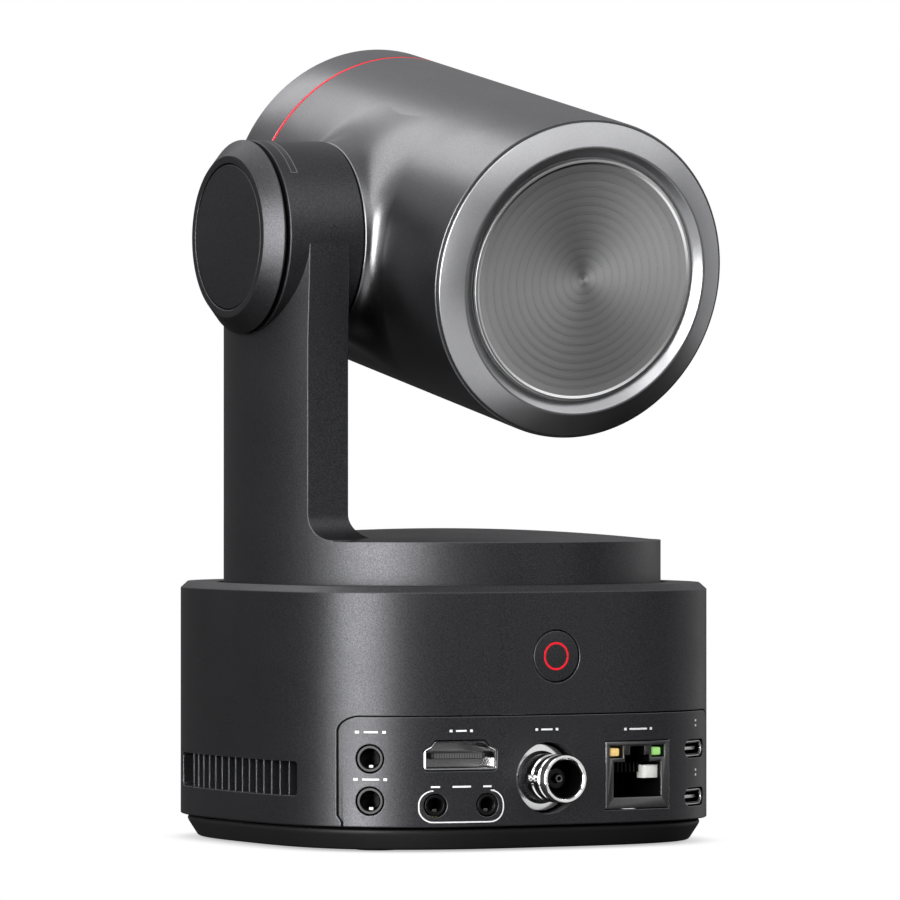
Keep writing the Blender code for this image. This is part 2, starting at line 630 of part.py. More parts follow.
def make_yoke_shell(m, pan):
    """Turntable, arm and hub housing in one casting."""
    top = [(r, TABLE_RIM_Z + DOME_RISE * (1 - (r / 44.4) ** 2)) for r in (10, 28, 44.4)]
    profile = top + [(44.85, TABLE_RIM_Z - 0.15), (TABLE_R, TABLE_RIM_Z - 0.6),
                     (TABLE_R, TABLE_LOW_Z), (42.4, TABLE_LOW_Z), (42.4, 57.8), (10, 57.8)]
    shell = make_object("yoke_shell", lathe(profile, FINE), m["graphite"], pan)
    heights = [58.6] + [TABLE_RIM_Z + 0.4 + ARM_FILLET * (1 - math.cos(math.radians(a)))
                        for a in (30, 50, 70, 90)] + [TILT_Z]
    shape(shell, stack([arm_ring(z) for z in heights]), "UNION")
    hub_place = shift(z=TILT_Z)
    hub = lathe([(HUB_R - 0.3, HUB_INNER_X), (HUB_R, HUB_INNER_X + 0.3),
                 (HUB_R, HUB_OUTER_X - 0.3), (HUB_R - 0.3, HUB_OUTER_X)], 48, "X")
    shape(shell, hub, "UNION", hub_place)
    bore = [(15.3, HUB_INNER_X - 3), (15.3, 31.6), (12.0, 31.6), (12.0, 33.8), (17.0, 33.8),
            (17.0, HUB_OUTER_X + 3)]
    shape(shell, lathe(bore, 34, "X"), matrix=hub_place)
    shape(shell, block((35.0, 41.5), (-9.0, 9.0), (50.0, 108.0)))
    low_x, high_x = TALLY_X
    slot = bent_strip(low_x, high_x, HUB_R - 0.7, HUB_R + 1.4, 0, TALLY_TURN)
    shape(shell, slot, matrix=hub_place)
    strip = bent_strip(low_x + CLEAR, high_x - CLEAR, HUB_R - 0.4, HUB_R - 0.05, 2,
                       TALLY_TURN - 2)
    make_object("tally_strip", strip, m["smoked"], pan, hub_place)


def make_yoke_parts(m, pan):
    """What turns with the yoke: pan drive, hub cap, tilt drive and bearings."""
    rotor = [(6.0, 36.0), (6.0, 57.5), (24.0, 57.5), (24.0, 49.0), (20.6, 49.0), (20.6, 57.0),
             (7.9, 57.0), (7.9, 36.0)]
    make_object("pan_rotor", lathe(rotor, MEDIUM, closed=True), m["steel"], pan)
    inner_race = tube(30.0, 26.5, 48.6, 57.5, MEDIUM)
    make_object("pan_bearing_inner", inner_race, m["steel"], pan)
    hub_place = shift(z=TILT_Z)
    cap = [(HUB_DISC_R + 0.3, HUB_OUTER_X + 0.3), (18.4, HUB_OUTER_X + 0.3), (18.4, 45.9),
           (HUB_R, 45.9), (HUB_R, 46.2), (HUB_FACE_R, HUB_CAP_X), (HUB_DISC_R + 0.3, HUB_CAP_X)]
    make_object("hub_cap", lathe(cap, 48, "X", True), m["graphite"], pan, hub_place)
    disc = [(HUB_DISC_R, 46.4), (HUB_DISC_R, HUB_CAP_X - 0.2), (HUB_DISC_R - 0.2, HUB_CAP_X)]
    make_object("hub_disc", lathe(disc, MEDIUM, "X"), m["graphite"], pan, hub_place)
    make_object("tilt_stator", tube(16.7, 13.2, 34.2, 43.5, MEDIUM, "X"), m["copper"], pan, hub_place)
    bearing = tube(15.0, 11.8, 28.4, 31.3, MEDIUM, "X")
    make_object("tilt_bearing", bearing, m["steel"], pan, hub_place)


# ---------------------------------------------------------------- head

def flared_boss(count=36, steps=5):
    """The round boss that meets the hub, its side sweeping out into the head's side.
    At each angle round the tilt axis a cubic runs from the boss's edge to the cylinder,
    tangent to both."""
    rings = []
    for k in range(steps + 1):
        t = k / steps
        ring = []
        for i in range(count):
            angle = math.tau * i / count
            c, s = math.cos(angle), math.sin(angle)
            side = HEAD_X + math.sqrt(HEAD_R ** 2 - (HUB_R * s) ** 2)
            reach = HUB_R + 1.2 * (BOSS_END_X - side)
            flat = math.sqrt(HEAD_R ** 2 - (reach * s) ** 2)
            end = Vector((HEAD_X + flat, reach))
            start = Vector((BOSS_END_X, HUB_R))
            length = (end - start).length
            leave = Vector((-1, 0)) * length
            arrive = Vector((-reach * s * s / flat, 1)).normalized() * length
            point = ((2 * t ** 3 - 3 * t ** 2 + 1) * start + (t ** 3 - 2 * t ** 2 + t) * leave
                     + (3 * t ** 2 - 2 * t ** 3) * end + (t ** 3 - t ** 2) * arrive)
            sink = 0.1 * t
            ring.append((point.x - sink, point.y * c, point.y * s))
        rings.append(ring)
    rings.append([(0.0, 0.9 * y, 0.9 * z) for _, y, z in rings[-1]])
    return stack(rings)


def make_head_shell(m, tilt):
    """The head's tube, with the boss on its side and a bore for the tilt shaft."""
    place = shift(HEAD_X)
    tube_ends = [(HEAD_R, HEAD_SEAM), (HEAD_R, HEAD_REAR - 0.5), (HEAD_R - 0.4, HEAD_REAR)]
    shell = make_object("head_shell", lathe(tube_ends, FINE, "Y"), m["head_metal"], tilt, place)
    shape(shell, flared_boss(), "UNION", Matrix.Identity(4))
    inside = lathe([(HEAD_R - HEAD_WALL, -70), (HEAD_R - HEAD_WALL, 70)], 48, "Y")
    shape(shell, inside, matrix=place)
    shape(shell, lathe([(11.8, 8), (11.8, 40)], MEDIUM, "X"), matrix=Matrix.Identity(4))


def make_head_parts(m, tilt):
    """The rear cap, the red ring, the tilt shaft and what is fixed inside the head."""
    place = shift(HEAD_X)
    lip = HEAD_REAR + 0.1
    rim = lip + BEZEL_RISE
    bezel = [(31.9, lip), (31.9, lip + 0.2), (BEZEL_IN_R, rim), (BEZEL_IN_R - 0.4, rim),
             (REAR_DISC_R + 0.8, rim - 1.3), (REAR_DISC_R + 0.3, rim - 2.0),
             (REAR_DISC_R - 2.0, rim - 2.0), (REAR_DISC_R - 2.0, rim - 4.0),
             (HEAD_R - HEAD_WALL - CLEAR, rim - 4.0), (HEAD_R - HEAD_WALL - CLEAR, lip)]
    make_object("rear_bezel", lathe(bezel, 48, "Y", True), m["satin_rim"], tilt, place)
    disc = [(REAR_DISC_R - 2.6, rim - 4.0), (REAR_DISC_R - 2.6, rim - 1.7),
            (REAR_DISC_R, rim - 1.7), (REAR_DISC_R, rim - 0.9), (REAR_DISC_R - 0.3, rim - 0.7),
            (REAR_DISC_R - 0.7, rim - 0.9)]
    make_object("rear_disc", lathe(disc, 48, "Y"), m["turned_metal"], tilt, place)
    front = HEAD_SEAM - 0.05
    ring = tube(HEAD_R, HEAD_R - 2.0, front - RING_W, front, FINE, "Y")
    make_object("accent_ring", ring, m["accent_red"], tilt, place)
    shaft = [(11.4, 14.0), (11.4, 33.0), (11.4, 34.2), (12.8, 34.2), (12.8, 43.0), (6.0, 43.0),
             (6.0, 14.0)]
    make_object("tilt_shaft", lathe(shaft, MEDIUM, "X", True), m["steel"], tilt)
    make_object("head_board", prism(circle(27, MEDIUM), 33.0, 34.6, "Y"), m["circuit_green"],
                tilt, place)
    stator = tube(29.8, 26.0, -34.0, -24.0, MEDIUM, "Y")
    make_object("roll_stator", stator, m["copper"], tilt, place)


def make_roll_parts(m, roll):
    """The front of the head, which rolls about the lens axis, with lens and sensor."""
    seam = HEAD_SEAM - RING_W - 0.1
    barrel = [(HEAD_R, seam), (HEAD_R, HEAD_FRONT + 0.8), (HEAD_R - 0.25, HEAD_FRONT + 0.25),
              (HEAD_R - 0.8, HEAD_FRONT), (HEAD_R - 3.2, HEAD_FRONT), (HEAD_R - 3.2, seam)]
    make_object("front_barrel", lathe(barrel, FINE, "Y", True), m["head_metal"], roll)
    hood_r = HEAD_R - 3.5
    bezel = [(hood_r, HEAD_FRONT + 0.8), (21.0, HEAD_FRONT + 5.0), (21.0, HEAD_FRONT + 7.2),
             (18.4, HEAD_FRONT + 7.2), (18.4, HEAD_FRONT + 9.5), (hood_r, HEAD_FRONT + 9.5)]
    make_object("front_bezel", lathe(bezel, 48, "Y", True), m["black_plastic"], roll)
    glass = [(6.0, HEAD_FRONT + 4.0), (13.0, HEAD_FRONT + 4.6), (18.0, HEAD_FRONT + 5.6),
             (20.6, HEAD_FRONT + 6.6), (20.6, HEAD_FRONT + 6.9), (6.0, HEAD_FRONT + 6.9)]
    make_object("front_glass", lathe(glass, MEDIUM, "Y"), m["glass"], roll)
    make_object("lens_barrel", tube(20.0, 17.6, HEAD_FRONT + 9.9, 6.0, MEDIUM, "Y"),
                m["black_plastic"], roll)
    make_object("roll_rotor", tube(25.4, 20.4, -33.0, -25.0, MEDIUM, "Y"), m["steel"], roll)
    board = make_object("sensor_board", block((-14, 14), (8.0, 9.6), (-12, 12)),
                        m["circuit_green"], roll)
    shape(board, block((-7.2, 7.2), (6.8, 8.8), (-4.8, 4.8)), "UNION")


def make_lens_group(name, radius, low, high, m, roll):
    """A sliding lens in its carrier, on its own axis empty."""
    axis = empty(name + "_axis", Matrix.Identity(4), roll)
    profile = [(radius * 0.5, low - 0.8), (radius * 0.8, low), (radius, low), (radius, high),
               (radius * 0.8, high), (radius * 0.5, high + 0.8)]
    make_object(name, lathe(profile, 28, "Y"), m["glass"], axis)


# ---------------------------------------------------------------- build

def main():
    for old in list(bpy.data.objects):
        bpy.data.objects.remove(old, do_unlink=True)
    m = all_materials()
    make_base_housing(m)
    make_io_panel(m)
    make_bottom_cover(m)
    make_vent_grille("vent_grille_left", 1, m["black_plastic"])
    make_vent_grille("vent_grille_right", -1, m["black_plastic"])
    make_jacks(m)
    make_video_port(m)
    make_coax_port(m)
    make_network_port(m)
    make_power_ports(m)
    make_record_button(m)
    make_base_inside(m)
    pan = empty("pan_axis", Matrix.Identity(4))
    make_yoke_shell(m, pan)
    make_yoke_parts(m, pan)
    lean = Matrix.Rotation(math.radians(-HEAD_PITCH), 4, "X")
    tilt = empty("tilt_axis", shift(z=TILT_Z) @ lean, pan)
    make_head_shell(m, tilt)
    make_head_parts(m, tilt)
    roll = empty("roll_axis", shift(HEAD_X), tilt)
    make_roll_parts(m, roll)
    make_lens_group("zoom_group", 15.5, -30.0, -24.0, m, roll)
    make_lens_group("focus_group", 13.0, -10.0, -6.0, m, roll)


main()
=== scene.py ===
import json
import math

import bmesh
import bpy
from mathutils import Matrix, Vector

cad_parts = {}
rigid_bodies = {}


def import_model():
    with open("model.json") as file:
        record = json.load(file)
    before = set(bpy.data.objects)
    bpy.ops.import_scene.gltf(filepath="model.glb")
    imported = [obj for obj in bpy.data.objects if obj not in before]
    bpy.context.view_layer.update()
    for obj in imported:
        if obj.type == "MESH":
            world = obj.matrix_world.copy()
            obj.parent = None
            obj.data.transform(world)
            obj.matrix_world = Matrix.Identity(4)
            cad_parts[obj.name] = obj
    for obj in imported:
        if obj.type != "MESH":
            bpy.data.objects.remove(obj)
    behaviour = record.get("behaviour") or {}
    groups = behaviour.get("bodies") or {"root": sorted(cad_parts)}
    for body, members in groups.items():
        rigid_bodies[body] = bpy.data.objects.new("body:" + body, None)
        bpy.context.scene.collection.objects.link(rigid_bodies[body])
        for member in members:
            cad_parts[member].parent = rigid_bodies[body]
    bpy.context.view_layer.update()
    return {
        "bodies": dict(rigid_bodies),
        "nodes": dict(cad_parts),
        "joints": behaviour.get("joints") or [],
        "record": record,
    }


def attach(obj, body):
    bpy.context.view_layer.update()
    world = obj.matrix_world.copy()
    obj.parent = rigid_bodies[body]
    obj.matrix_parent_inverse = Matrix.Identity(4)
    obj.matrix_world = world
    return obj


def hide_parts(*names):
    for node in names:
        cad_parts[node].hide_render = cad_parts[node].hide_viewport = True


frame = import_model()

MM = 0.001
ROUND = 256          # sides of the large round pieces
MIDDLE = 96          # sides of sockets and other small round pieces
WALL_POINTS = 384    # points of the base's outline
SHARP_ANGLE = 32.0   # degrees; edges that turn more than this are drawn sharp
CORNER_ANGLE = 24.0  # degrees; corners that turn more than this are rounded off

# The base, in millimetres; the same shape rules as the part.
BASE_HALF = 48.8
BASE_POWER = 3.16
SEAM_Z = 4.9
BASE_TOP_Z = 52.9
TOP_CHAMFER = 1.35
WALL = 2.2
TOP_HOLE_R = 46.3
LIP_T = 2.0
FOOT_TOP_INSET = 0.8
FOOT_LOW_INSET = 3.3
FOOT_LIFT = 0.3
COVER_INSET = 6.0
FOOT_PAD_R = 5.0
FOOT_PAD_OFFSET = 31.0
PANEL_HALF_X = 42.2
PANEL_TOP_Z = SEAM_Z + 22.0
PANEL_CORNER = 3.0
PANEL_GAP = 0.28
VENT_HALF_Y = 26.0
VENT_LOW_Z = SEAM_Z + 5.9
VENT_TOP_Z = SEAM_Z + 12.8
RIB_PITCH = 3.1
RIB_COUNT = 15
RIB_T = 0.55
RIB_DEPTH = 4.2
RIB_SETBACK = 1.2

# The sockets' places on the rear wall as (x, z), and their sizes.
SOCKET_GAP = 0.25
MIC = (37.6, SEAM_Z + 13.7)
LINE = (37.6, SEAM_Z + 5.3)
SERIAL_IN = (26.2, SEAM_Z + 4.4)
SERIAL_OUT = (15.5, SEAM_Z + 4.4)
LARGE_JACK = (2.7, 1.8)      # outer and bore radius
SMALL_JACK = (2.15, 1.3)
ROUND_JACKS = (("mic", MIC, *LARGE_JACK), ("line", LINE, *LARGE_JACK),
               ("serial_in", SERIAL_IN, *SMALL_JACK), ("serial_out", SERIAL_OUT, *SMALL_JACK))
VIDEO = (21.0, SEAM_Z + 14.3)
VIDEO_W, VIDEO_H = 15.0, 5.8
COAX = (1.8, SEAM_Z + 9.5)
COAX_WELL_R = 7.2
COAX_REACH = 7.2             # how far the barrel stands out of the wall
NETWORK = (-19.3, SEAM_Z + 9.65)
NETWORK_W, NETWORK_H = 16.0, 13.5
LAMP_X = 5.3                 # from the network socket's middle
POWER_X = -36.1
POWER_Z = (SEAM_Z + 14.4, SEAM_Z + 4.6)
POWER_W, POWER_H = 8.9, 3.2
POWER_HALF = 3.0             # half the chord that sets the power sockets' angle
BUTTON_Z = SEAM_Z + 33.8
BUTTON_R = 5.1

# The printed marks, with heights above the seam.
STROKE = 0.36
BRACKET_LINE = 0.26
LABEL_LOW_Z = 8.1

# The yoke.
TABLE_R = 45.0
TABLE_LOW_Z = 49.5
TABLE_RIM_Z = 61.4
DOME_RISE = 2.4
ARM_INNER_X = 31.6
ARM_HALF_Y = 19.1
ARM_FILLET = 5.2
ARM_WIDENING = 25.0          # height over which the arm widens to the hub
TILT_Z = 123.2
HUB_R = 19.7
HUB_INNER_X = 28.2
HUB_OUTER_X = 44.8
HUB_CAP_X = 49.3
HUB_LIP_R = 15.3
HUB_HOLLOW_R = 17.0
HUB_HOLLOW_X = 33.8
HUB_FACE_R = 16.4
HUB_DISC_R = 14.65
TALLY_X = (41.0, 42.4)       # the status strip's slot, across and round the hub
TALLY_TURN = 50

# The head, in its own frame on the tilt axis.
HEAD_PITCH = 11.15
HEAD_X = -7.35
HEAD_R = 32.6
HEAD_WALL = 2.2
HEAD_REAR = 45.8
HEAD_SEAM = -37.2
RING_W = 0.6
HEAD_FRONT = -49.1
BOSS_END_X = 27.9
BEZEL_IN_R = 27.4
BEZEL_RISE = 2.6
REAR_DISC_R = 24.6

# The camera and the lights, in metres and degrees.
CAMERA_AT = (0.7046, 1.3272, 0.0814)
CAMERA_TURN = 151.97
CAMERA_LENS = 291.77
CAMERA_SHIFT = (-0.00067, -0.0080)
LIGHT_AIM = (0, 0, 0.085)
LIGHT_DISTANCE = 1.4


# ---------------------------------------------------------------- finishes

def linear(level):
    """A grey or colour channel from 0-255 as shown, in the renderer's linear scale."""
    share = level / 255
    return share / 12.92 if share <= 0.04045 else ((share + 0.055) / 1.055) ** 2.4


def grey(level, warmth=0.0):
    """A grey of that shown level, with less blue when warm and more when cool."""
    return (linear(level), linear(level), linear(level - 2 * warmth), 1.0)


def mixed(colour, share):
    """The colour made lighter (share above 1) or darker."""
    return tuple(min(1.0, c * share) for c in colour[:3]) + (1.0,)


class Nodes:
    """A short way to wire a material's nodes."""

    def __init__(self, name):
        self.material = bpy.data.materials.new(name)
        self.material.use_nodes = True
        self.tree = self.material.node_tree
        self.shader = self.tree.nodes["Principled BSDF"]

    def add(self, kind, inputs=(), **settings):
        node = self.tree.nodes.new(kind)
        for key, value in settings.items():
            setattr(node, key, value)
        for key, value in dict(inputs).items():
            if isinstance(value, bpy.types.NodeSocket):
                self.tree.links.new(value, node.inputs[key])
            else:
                node.inputs[key].default_value = value
        return node

    def spread(self, value, low, high, source_low=0.0, source_high=1.0):
        """value from one range to another, clamped."""
        return self.add("ShaderNodeMapRange", {"Value": value, "From Min": source_low,
                                               "From Max": source_high, "To Min": low,
                                               "To Max": high}).outputs["Result"]

    def blend(self, factor, first, second):
        """One colour turning into the other."""
        node = self.add("ShaderNodeMix", data_type="RGBA")
        for socket, value in zip((node.inputs[0], node.inputs[6], node.inputs[7]),
                                 (factor, first, second)):
            if isinstance(value, bpy.types.NodeSocket):
                self.tree.links.new(value, socket)
            else:
                socket.default_value = value
        return node.outputs[2]

    def noise(self, coordinates, scale, detail=2.0):
        return self.add("ShaderNodeTexNoise", {"Vector": coordinates, "Scale": scale,
                                               "Detail": detail}).outputs["Fac"]

    def set(self, key, value):
        if isinstance(value, bpy.types.NodeSocket):
            self.tree.links.new(value, self.shader.inputs[key])
        else:
            self.shader.inputs[key].default_value = value


def finish(name, colour, roughness, metallic, grain=0.15, grain_scale=5200.0, bump=0.12,
           edge_highlight_and_wear=0.0, edge_highlight_radius=0.25, smear=0.04, coat=0.0, emission=0.0, specular=0.5):
    """A finish with grain, uneven roughness, a fine bump and, where asked, lighter edges that
    paint in edge highlights as well as wear.
    """
    n = Nodes(name)
    place = n.add("ShaderNodeTexCoord").outputs["Object"]
    fine = n.noise(place, grain_scale, 3.0)
    broad = n.noise(place, 55.0, 4.0)
    body = n.blend(n.spread(fine, 0.0, 1.0, 0.3, 0.7), mixed(colour, 1 - grain),
                   mixed(colour, 1 + grain))
    body = n.blend(n.spread(broad, 0.0, 0.35, 0.35, 0.7), body, mixed(colour, 0.9))
    bumped = n.add("ShaderNodeBump", {"Strength": bump, "Distance": 0.00003, "Height": fine})
    # The lighter edges, found with a rounded normal, are painted edge highlights together with
    # wear.
    if edge_highlight_and_wear:
        soft = n.add("ShaderNodeBevel", {"Radius": edge_highlight_radius * MM}, samples=4)
        shape = n.add("ShaderNodeNewGeometry")
        facing = n.add("ShaderNodeVectorMath", {0: soft.outputs[0], 1: shape.outputs["Normal"]},
                       operation="DOT_PRODUCT").outputs["Value"]
        edge = n.spread(facing, edge_highlight_and_wear, 0.0, 0.90, 0.995)
        body = n.blend(edge, body, mixed(colour, 3.0))
        n.tree.links.new(soft.outputs[0], bumped.inputs["Normal"])
    n.set("Base Color", body)
    n.set("Roughness", n.spread(broad, roughness - smear, roughness + smear, 0.3, 0.7))
    n.set("Metallic", metallic)
    n.set("Normal", bumped.outputs["Normal"])
    n.set("Specular IOR Level", specular)
    if coat:
        n.set("Coat Weight", coat)
        n.set("Coat Roughness", 0.25)
    if emission:
        n.set("Emission Color", colour)
        n.set("Emission Strength", emission)
    return n.material


def turned(name, colour, roughness, pitch, aniso):
    """A face-turned metal: circular tool marks, and painted highlights that fan out from the
    centre, the base colour lighter and darker by angle.
    """
    n = Nodes(name)

    def math_node(operation, first, second=0.0):
        return n.add("ShaderNodeMath", {0: first, 1: second}, operation=operation).outputs[0]

    place = n.add("ShaderNodeTexCoord").outputs["Object"]
    parts = n.add("ShaderNodeSeparateXYZ", {"Vector": place})
    across, up = parts.outputs["X"], parts.outputs["Z"]
    flat = n.add("ShaderNodeCombineXYZ", {"X": across, "Z": up})
    radius = n.add("ShaderNodeVectorMath", {0: flat.outputs[0]},
                   operation="LENGTH").outputs["Value"]
    turns = math_node("MULTIPLY", radius, math.tau / (pitch * MM))
    wave = math_node("SINE", turns)
    beat = math_node("SINE", math_node("MULTIPLY", turns, 0.173))
    marks = math_node("ADD", wave, beat)
    angle = math_node("ARCTAN2", up, math_node("MULTIPLY", across, -1.0))
    # Painted highlight and shade: the base colour goes lighter and darker in fans round the
    # centre.
    fan = None
    for times, phase, strength in ((1, -38, 0.20), (2, 52, 0.34), (3, 60, 0.05)):
        shifted = math_node("ADD", math_node("MULTIPLY", angle, times), -math.radians(phase))
        term = math_node("MULTIPLY", math_node("COSINE", shifted), strength)
        fan = term if fan is None else math_node("ADD", fan, term)
    body = n.blend(n.spread(fan, 0.0, 1.0, -0.55, 0.55), mixed(colour, 0.45), mixed(colour, 1.55))
    body = n.blend(n.spread(marks, 0.12, 0.0, -2.0, 2.0), body, mixed(colour, 0.25))
    grain = n.noise(place, 2600.0, 2.0)
    n.set("Base Color", n.blend(n.spread(grain, 0.0, 0.12), body, mixed(colour, 0.5)))
    n.set("Roughness", n.spread(marks, roughness - 0.03, roughness + 0.05, -2.0, 2.0))
    n.set("Metallic", 1.0)
    n.set("Anisotropic", aniso)
    tangent = n.add("ShaderNodeTangent", direction_type="RADIAL", axis="Y")
    n.tree.links.new(tangent.outputs[0], n.shader.inputs["Tangent"])
    bumped = n.add("ShaderNodeBump", {"Strength": 0.2, "Distance": 0.00001, "Height": marks})
    n.set("Normal", bumped.outputs["Normal"])
    return n.material


def all_finishes():
    """One finish for each of the record's material slots, and a few more."""
    return {
        # In these calls the number after the bump, where given, sets the lighter edges: painted
        # edge highlights with wear.
        "graphite": finish("graphite", grey(61, -1), 0.45, 0.9, 0.42, 4000.0, 0.45, 0.9),
        "head_metal": finish("head_metal", grey(106, -1), 0.34, 1.0, 0.25, 4600.0, 0.30, 0.35),
        "satin_rim": finish("satin_rim", grey(160, -1), 0.33, 0.95, 0.12, 6200.0, 0.15, 0.4),
        "turned_metal": turned("turned_metal", grey(226), 0.30, 0.30, 0.5),
        "foot_black": finish("foot_black", grey(16), 0.60, 0.0, 0.30, 3000.0, 0.30, 0.3,
                              specular=0.3),
        "rubber": finish("rubber", grey(30), 0.85, 0.0, 0.30, 1500.0, 0.60),
        "black_plastic": finish("black_plastic", grey(22), 0.50, 0.0, 0.25, 2500.0, 0.20, 0.3),
        "white_plastic": finish("white_plastic", grey(214, 2), 0.45, 0.0, 0.05, 2500.0, 0.10),
        "chrome": finish("chrome", grey(225), 0.14, 1.0, 0.04, 3000.0, 0.05, 0.0, smear=0.03),
        "steel": finish("steel", grey(178), 0.30, 1.0, 0.08, 3200.0, 0.12),
        "jack_metal": finish("jack_metal", grey(108), 0.34, 1.0, 0.12, 3000.0, 0.12, 0.4, 0.15),
        "brass": finish("brass", (0.60, 0.42, 0.17, 1), 0.28, 1.0, 0.08, 3000.0, 0.10),
        "copper": finish("copper", (0.55, 0.25, 0.12, 1), 0.38, 1.0, 0.12, 2600.0, 0.20),
        "aluminium": finish("aluminium", grey(190), 0.36, 1.0, 0.08, 3000.0, 0.12),
        "circuit_green": finish("circuit_green", (0.02, 0.13, 0.06, 1), 0.45, 0.0, 0.25, 900.0),
        "cell_wrap": finish("cell_wrap", (0.08, 0.10, 0.14, 1), 0.45, 0.0, 0.15, 1200.0),
        # Painted glow: the red accent gives off a little light though it is no lamp.
        "accent_red": finish("accent_red", (0.60, 0.008, 0.020, 1), 0.5, 0.0, 0.10, 3000.0,
                             0.10, emission=0.12, specular=0.2),
        "lamp_amber": finish("lamp_amber", (0.60, 0.42, 0.16, 1), 0.25, 0.0, 0.08, 2000.0, 0.05,
                             emission=0.6),
        "lamp_green": finish("lamp_green", (0.24, 0.48, 0.14, 1), 0.25, 0.0, 0.08, 2000.0, 0.05,
                             emission=0.6),
        "smoked": finish("smoked", grey(34), 0.30, 0.2, 0.10, 3000.0, 0.06),
        "glass": finish("glass", (0.012, 0.014, 0.03, 1), 0.06, 0.0, 0.20, 400.0, 0.02,
                        smear=0.02, coat=0.6, specular=0.8),
    }


FINISHES = all_finishes()
# Painted glow: the print gives off a little light though it is no lamp.
PRINT_WHITE = finish("print_white", grey(205), 0.55, 0.0, 0.06, 4000.0, 0.10, emission=0.10)
# A darker copy of the socket metal: painted shade, used inside the sockets where shade falls.
PAINTED_SHADE_METAL = finish("painted_shade_metal", grey(34), 0.32, 0.9, 0.10, 3000.0, 0.10)
# A lighter metal for the painted highlights along the status strip's slot.
PAINTED_SLOT_HIGHLIGHT = finish("painted_slot_highlight", grey(130), 0.30, 0.9, 0.06, 4000.0, 0.05)


# ---------------------------------------------------------------- outlines

def circle(radius, count):
    return [(radius * math.cos(math.tau * i / count), radius * math.sin(math.tau * i / count))
            for i in range(count)]


def arc(centre_u, centre_v, radius, start, stop, steps):
    angles = [math.radians(start + (stop - start) * k / steps) for k in range(steps + 1)]
    return [(centre_u + radius * math.cos(a), centre_v + radius * math.sin(a)) for a in angles]


def rectangle(low_u, high_u, low_v, high_v):
    return [(low_u, low_v), (high_u, low_v), (high_u, high_v), (low_u, high_v)]


def soften(points, radius, closed=True, steps=4):
    """The polyline with its sharp corners rounded off by short curves."""
    result = []
    count = len(points)
    for i, point in enumerate(points):
        here = Vector(point)
        if not closed and i in (0, count - 1):
            result.append(tuple(here))
            continue
        before = Vector(points[i - 1]) - here
        after = Vector(points[(i + 1) % count]) - here
        if before.length < 1e-9 or after.length < 1e-9:
            continue
        bend = 180 - math.degrees(before.angle(after))
        if bend < CORNER_ANGLE:
            result.append(tuple(here))
            continue
        reach = min(radius * math.tan(math.radians(bend) / 2), before.length * 0.48,
                    after.length * 0.48)
        start = here + before.normalized() * reach
        end = here + after.normalized() * reach
        for k in range(steps + 1):
            t = k / steps
            result.append(tuple(start * (1 - t) ** 2 + here * 2 * t * (1 - t) + end * t * t))
    return result


def superellipse(half):
    """The base's plan, half as wide as its full width."""
    points = []
    for i in range(WALL_POINTS):
        angle = math.tau * i / WALL_POINTS
        c, s = math.cos(angle), math.sin(angle)
        radius = half / (abs(c) ** BASE_POWER + abs(s) ** BASE_POWER) ** (1 / BASE_POWER)
        points.append((radius * c, radius * s))
    return points


def wall_y(x):
    """Distance of the wall from the X axis at x; the plan is the same either way round."""
    return BASE_HALF * (1 - (abs(x) / BASE_HALF) ** BASE_POWER) ** (1 / BASE_POWER)


def grown(outline, amount):
    """The outline moved outwards by amount."""
    result = []
    for i, point in enumerate(outline):
        here = Vector(point)
        before = (here - Vector(outline[i - 1])).normalized()
        after = (Vector(outline[(i + 1) % len(outline)]) - here).normalized()
        normal_a = Vector((before.y, -before.x))
        normal_b = Vector((after.y, -after.x))
        normal = (normal_a + normal_b).normalized()
        result.append(tuple(here + normal * amount / max(normal.dot(normal_a), 0.5)))
    return result


# ---------------------------------------------------------------- meshes

def skin(rings, closed=False, caps=True):
    """A surface through rings of points; a closed one joins its last ring to its first."""
    made = bmesh.new()
    rows = [[made.verts.new(Vector(point) * MM) for point in ring] for ring in rings]
    pairs = list(zip(rows, rows[1:]))
    if closed:
        pairs.append((rows[-1], rows[0]))
    for low, high in pairs:
        for i in range(len(low)):
            j = (i + 1) % len(low)
            made.faces.new((low[i], low[j], high[j], high[i]))
    if caps and not closed:
        made.faces.new(rows[0])
        made.faces.new(rows[-1])
    bmesh.ops.recalc_face_normals(made, faces=made.faces)
    return made


def along(axis, u, v, height):
    """A point at height on the axis, with u and v on the other two."""
    return {"X": (height, u, v), "Y": (u, height, v), "Z": (u, v, height)}[axis]


def prism(outline, low, high, axis="Z"):
    return skin([[along(axis, u, v, h) for u, v in outline] for h in (low, high)])


def slab(outline, low, high, edge=0.12, axis="Z"):
    """An extruded outline with small rounded edges at both ends."""
    levels = [(edge, low), (edge * 0.3, low + edge * 0.3), (0.0, low + edge),
              (0.0, high - edge), (edge * 0.3, high - edge * 0.3), (edge, high)]
    return skin([[along(axis, u, v, h) for u, v in grown(outline, -d)] for d, h in levels])


def lathe(profile, count, axis="Z", closed=False):
    return skin([[along(axis, u, v, h) for u, v in circle(r, count)] for r, h in profile], closed)


def turned_solid(profile, count, axis, radius):
    """A turned body whose profile's corners are rounded off."""
    return lathe(soften(profile, radius), count, axis, True)


def tube_profile(outer, inner, low, high):
    return [(outer, low), (outer, high), (inner, high), (inner, low)]


def joined(*bodies):
    """Several bodies in one mesh."""
    first = bodies[0]
    for other in bodies[1:]:
        scratch = bpy.data.meshes.new("scratch")
        other.to_mesh(scratch)
        other.free()
        first.from_mesh(scratch)
        bpy.data.meshes.remove(scratch)
    return first


def moved(made, matrix):
    bmesh.ops.transform(made, matrix=matrix, verts=made.verts)
    return made


def shift(x=0.0, y=0.0, z=0.0):
    return Matrix.Translation(Vector((x, y, z)) * MM)


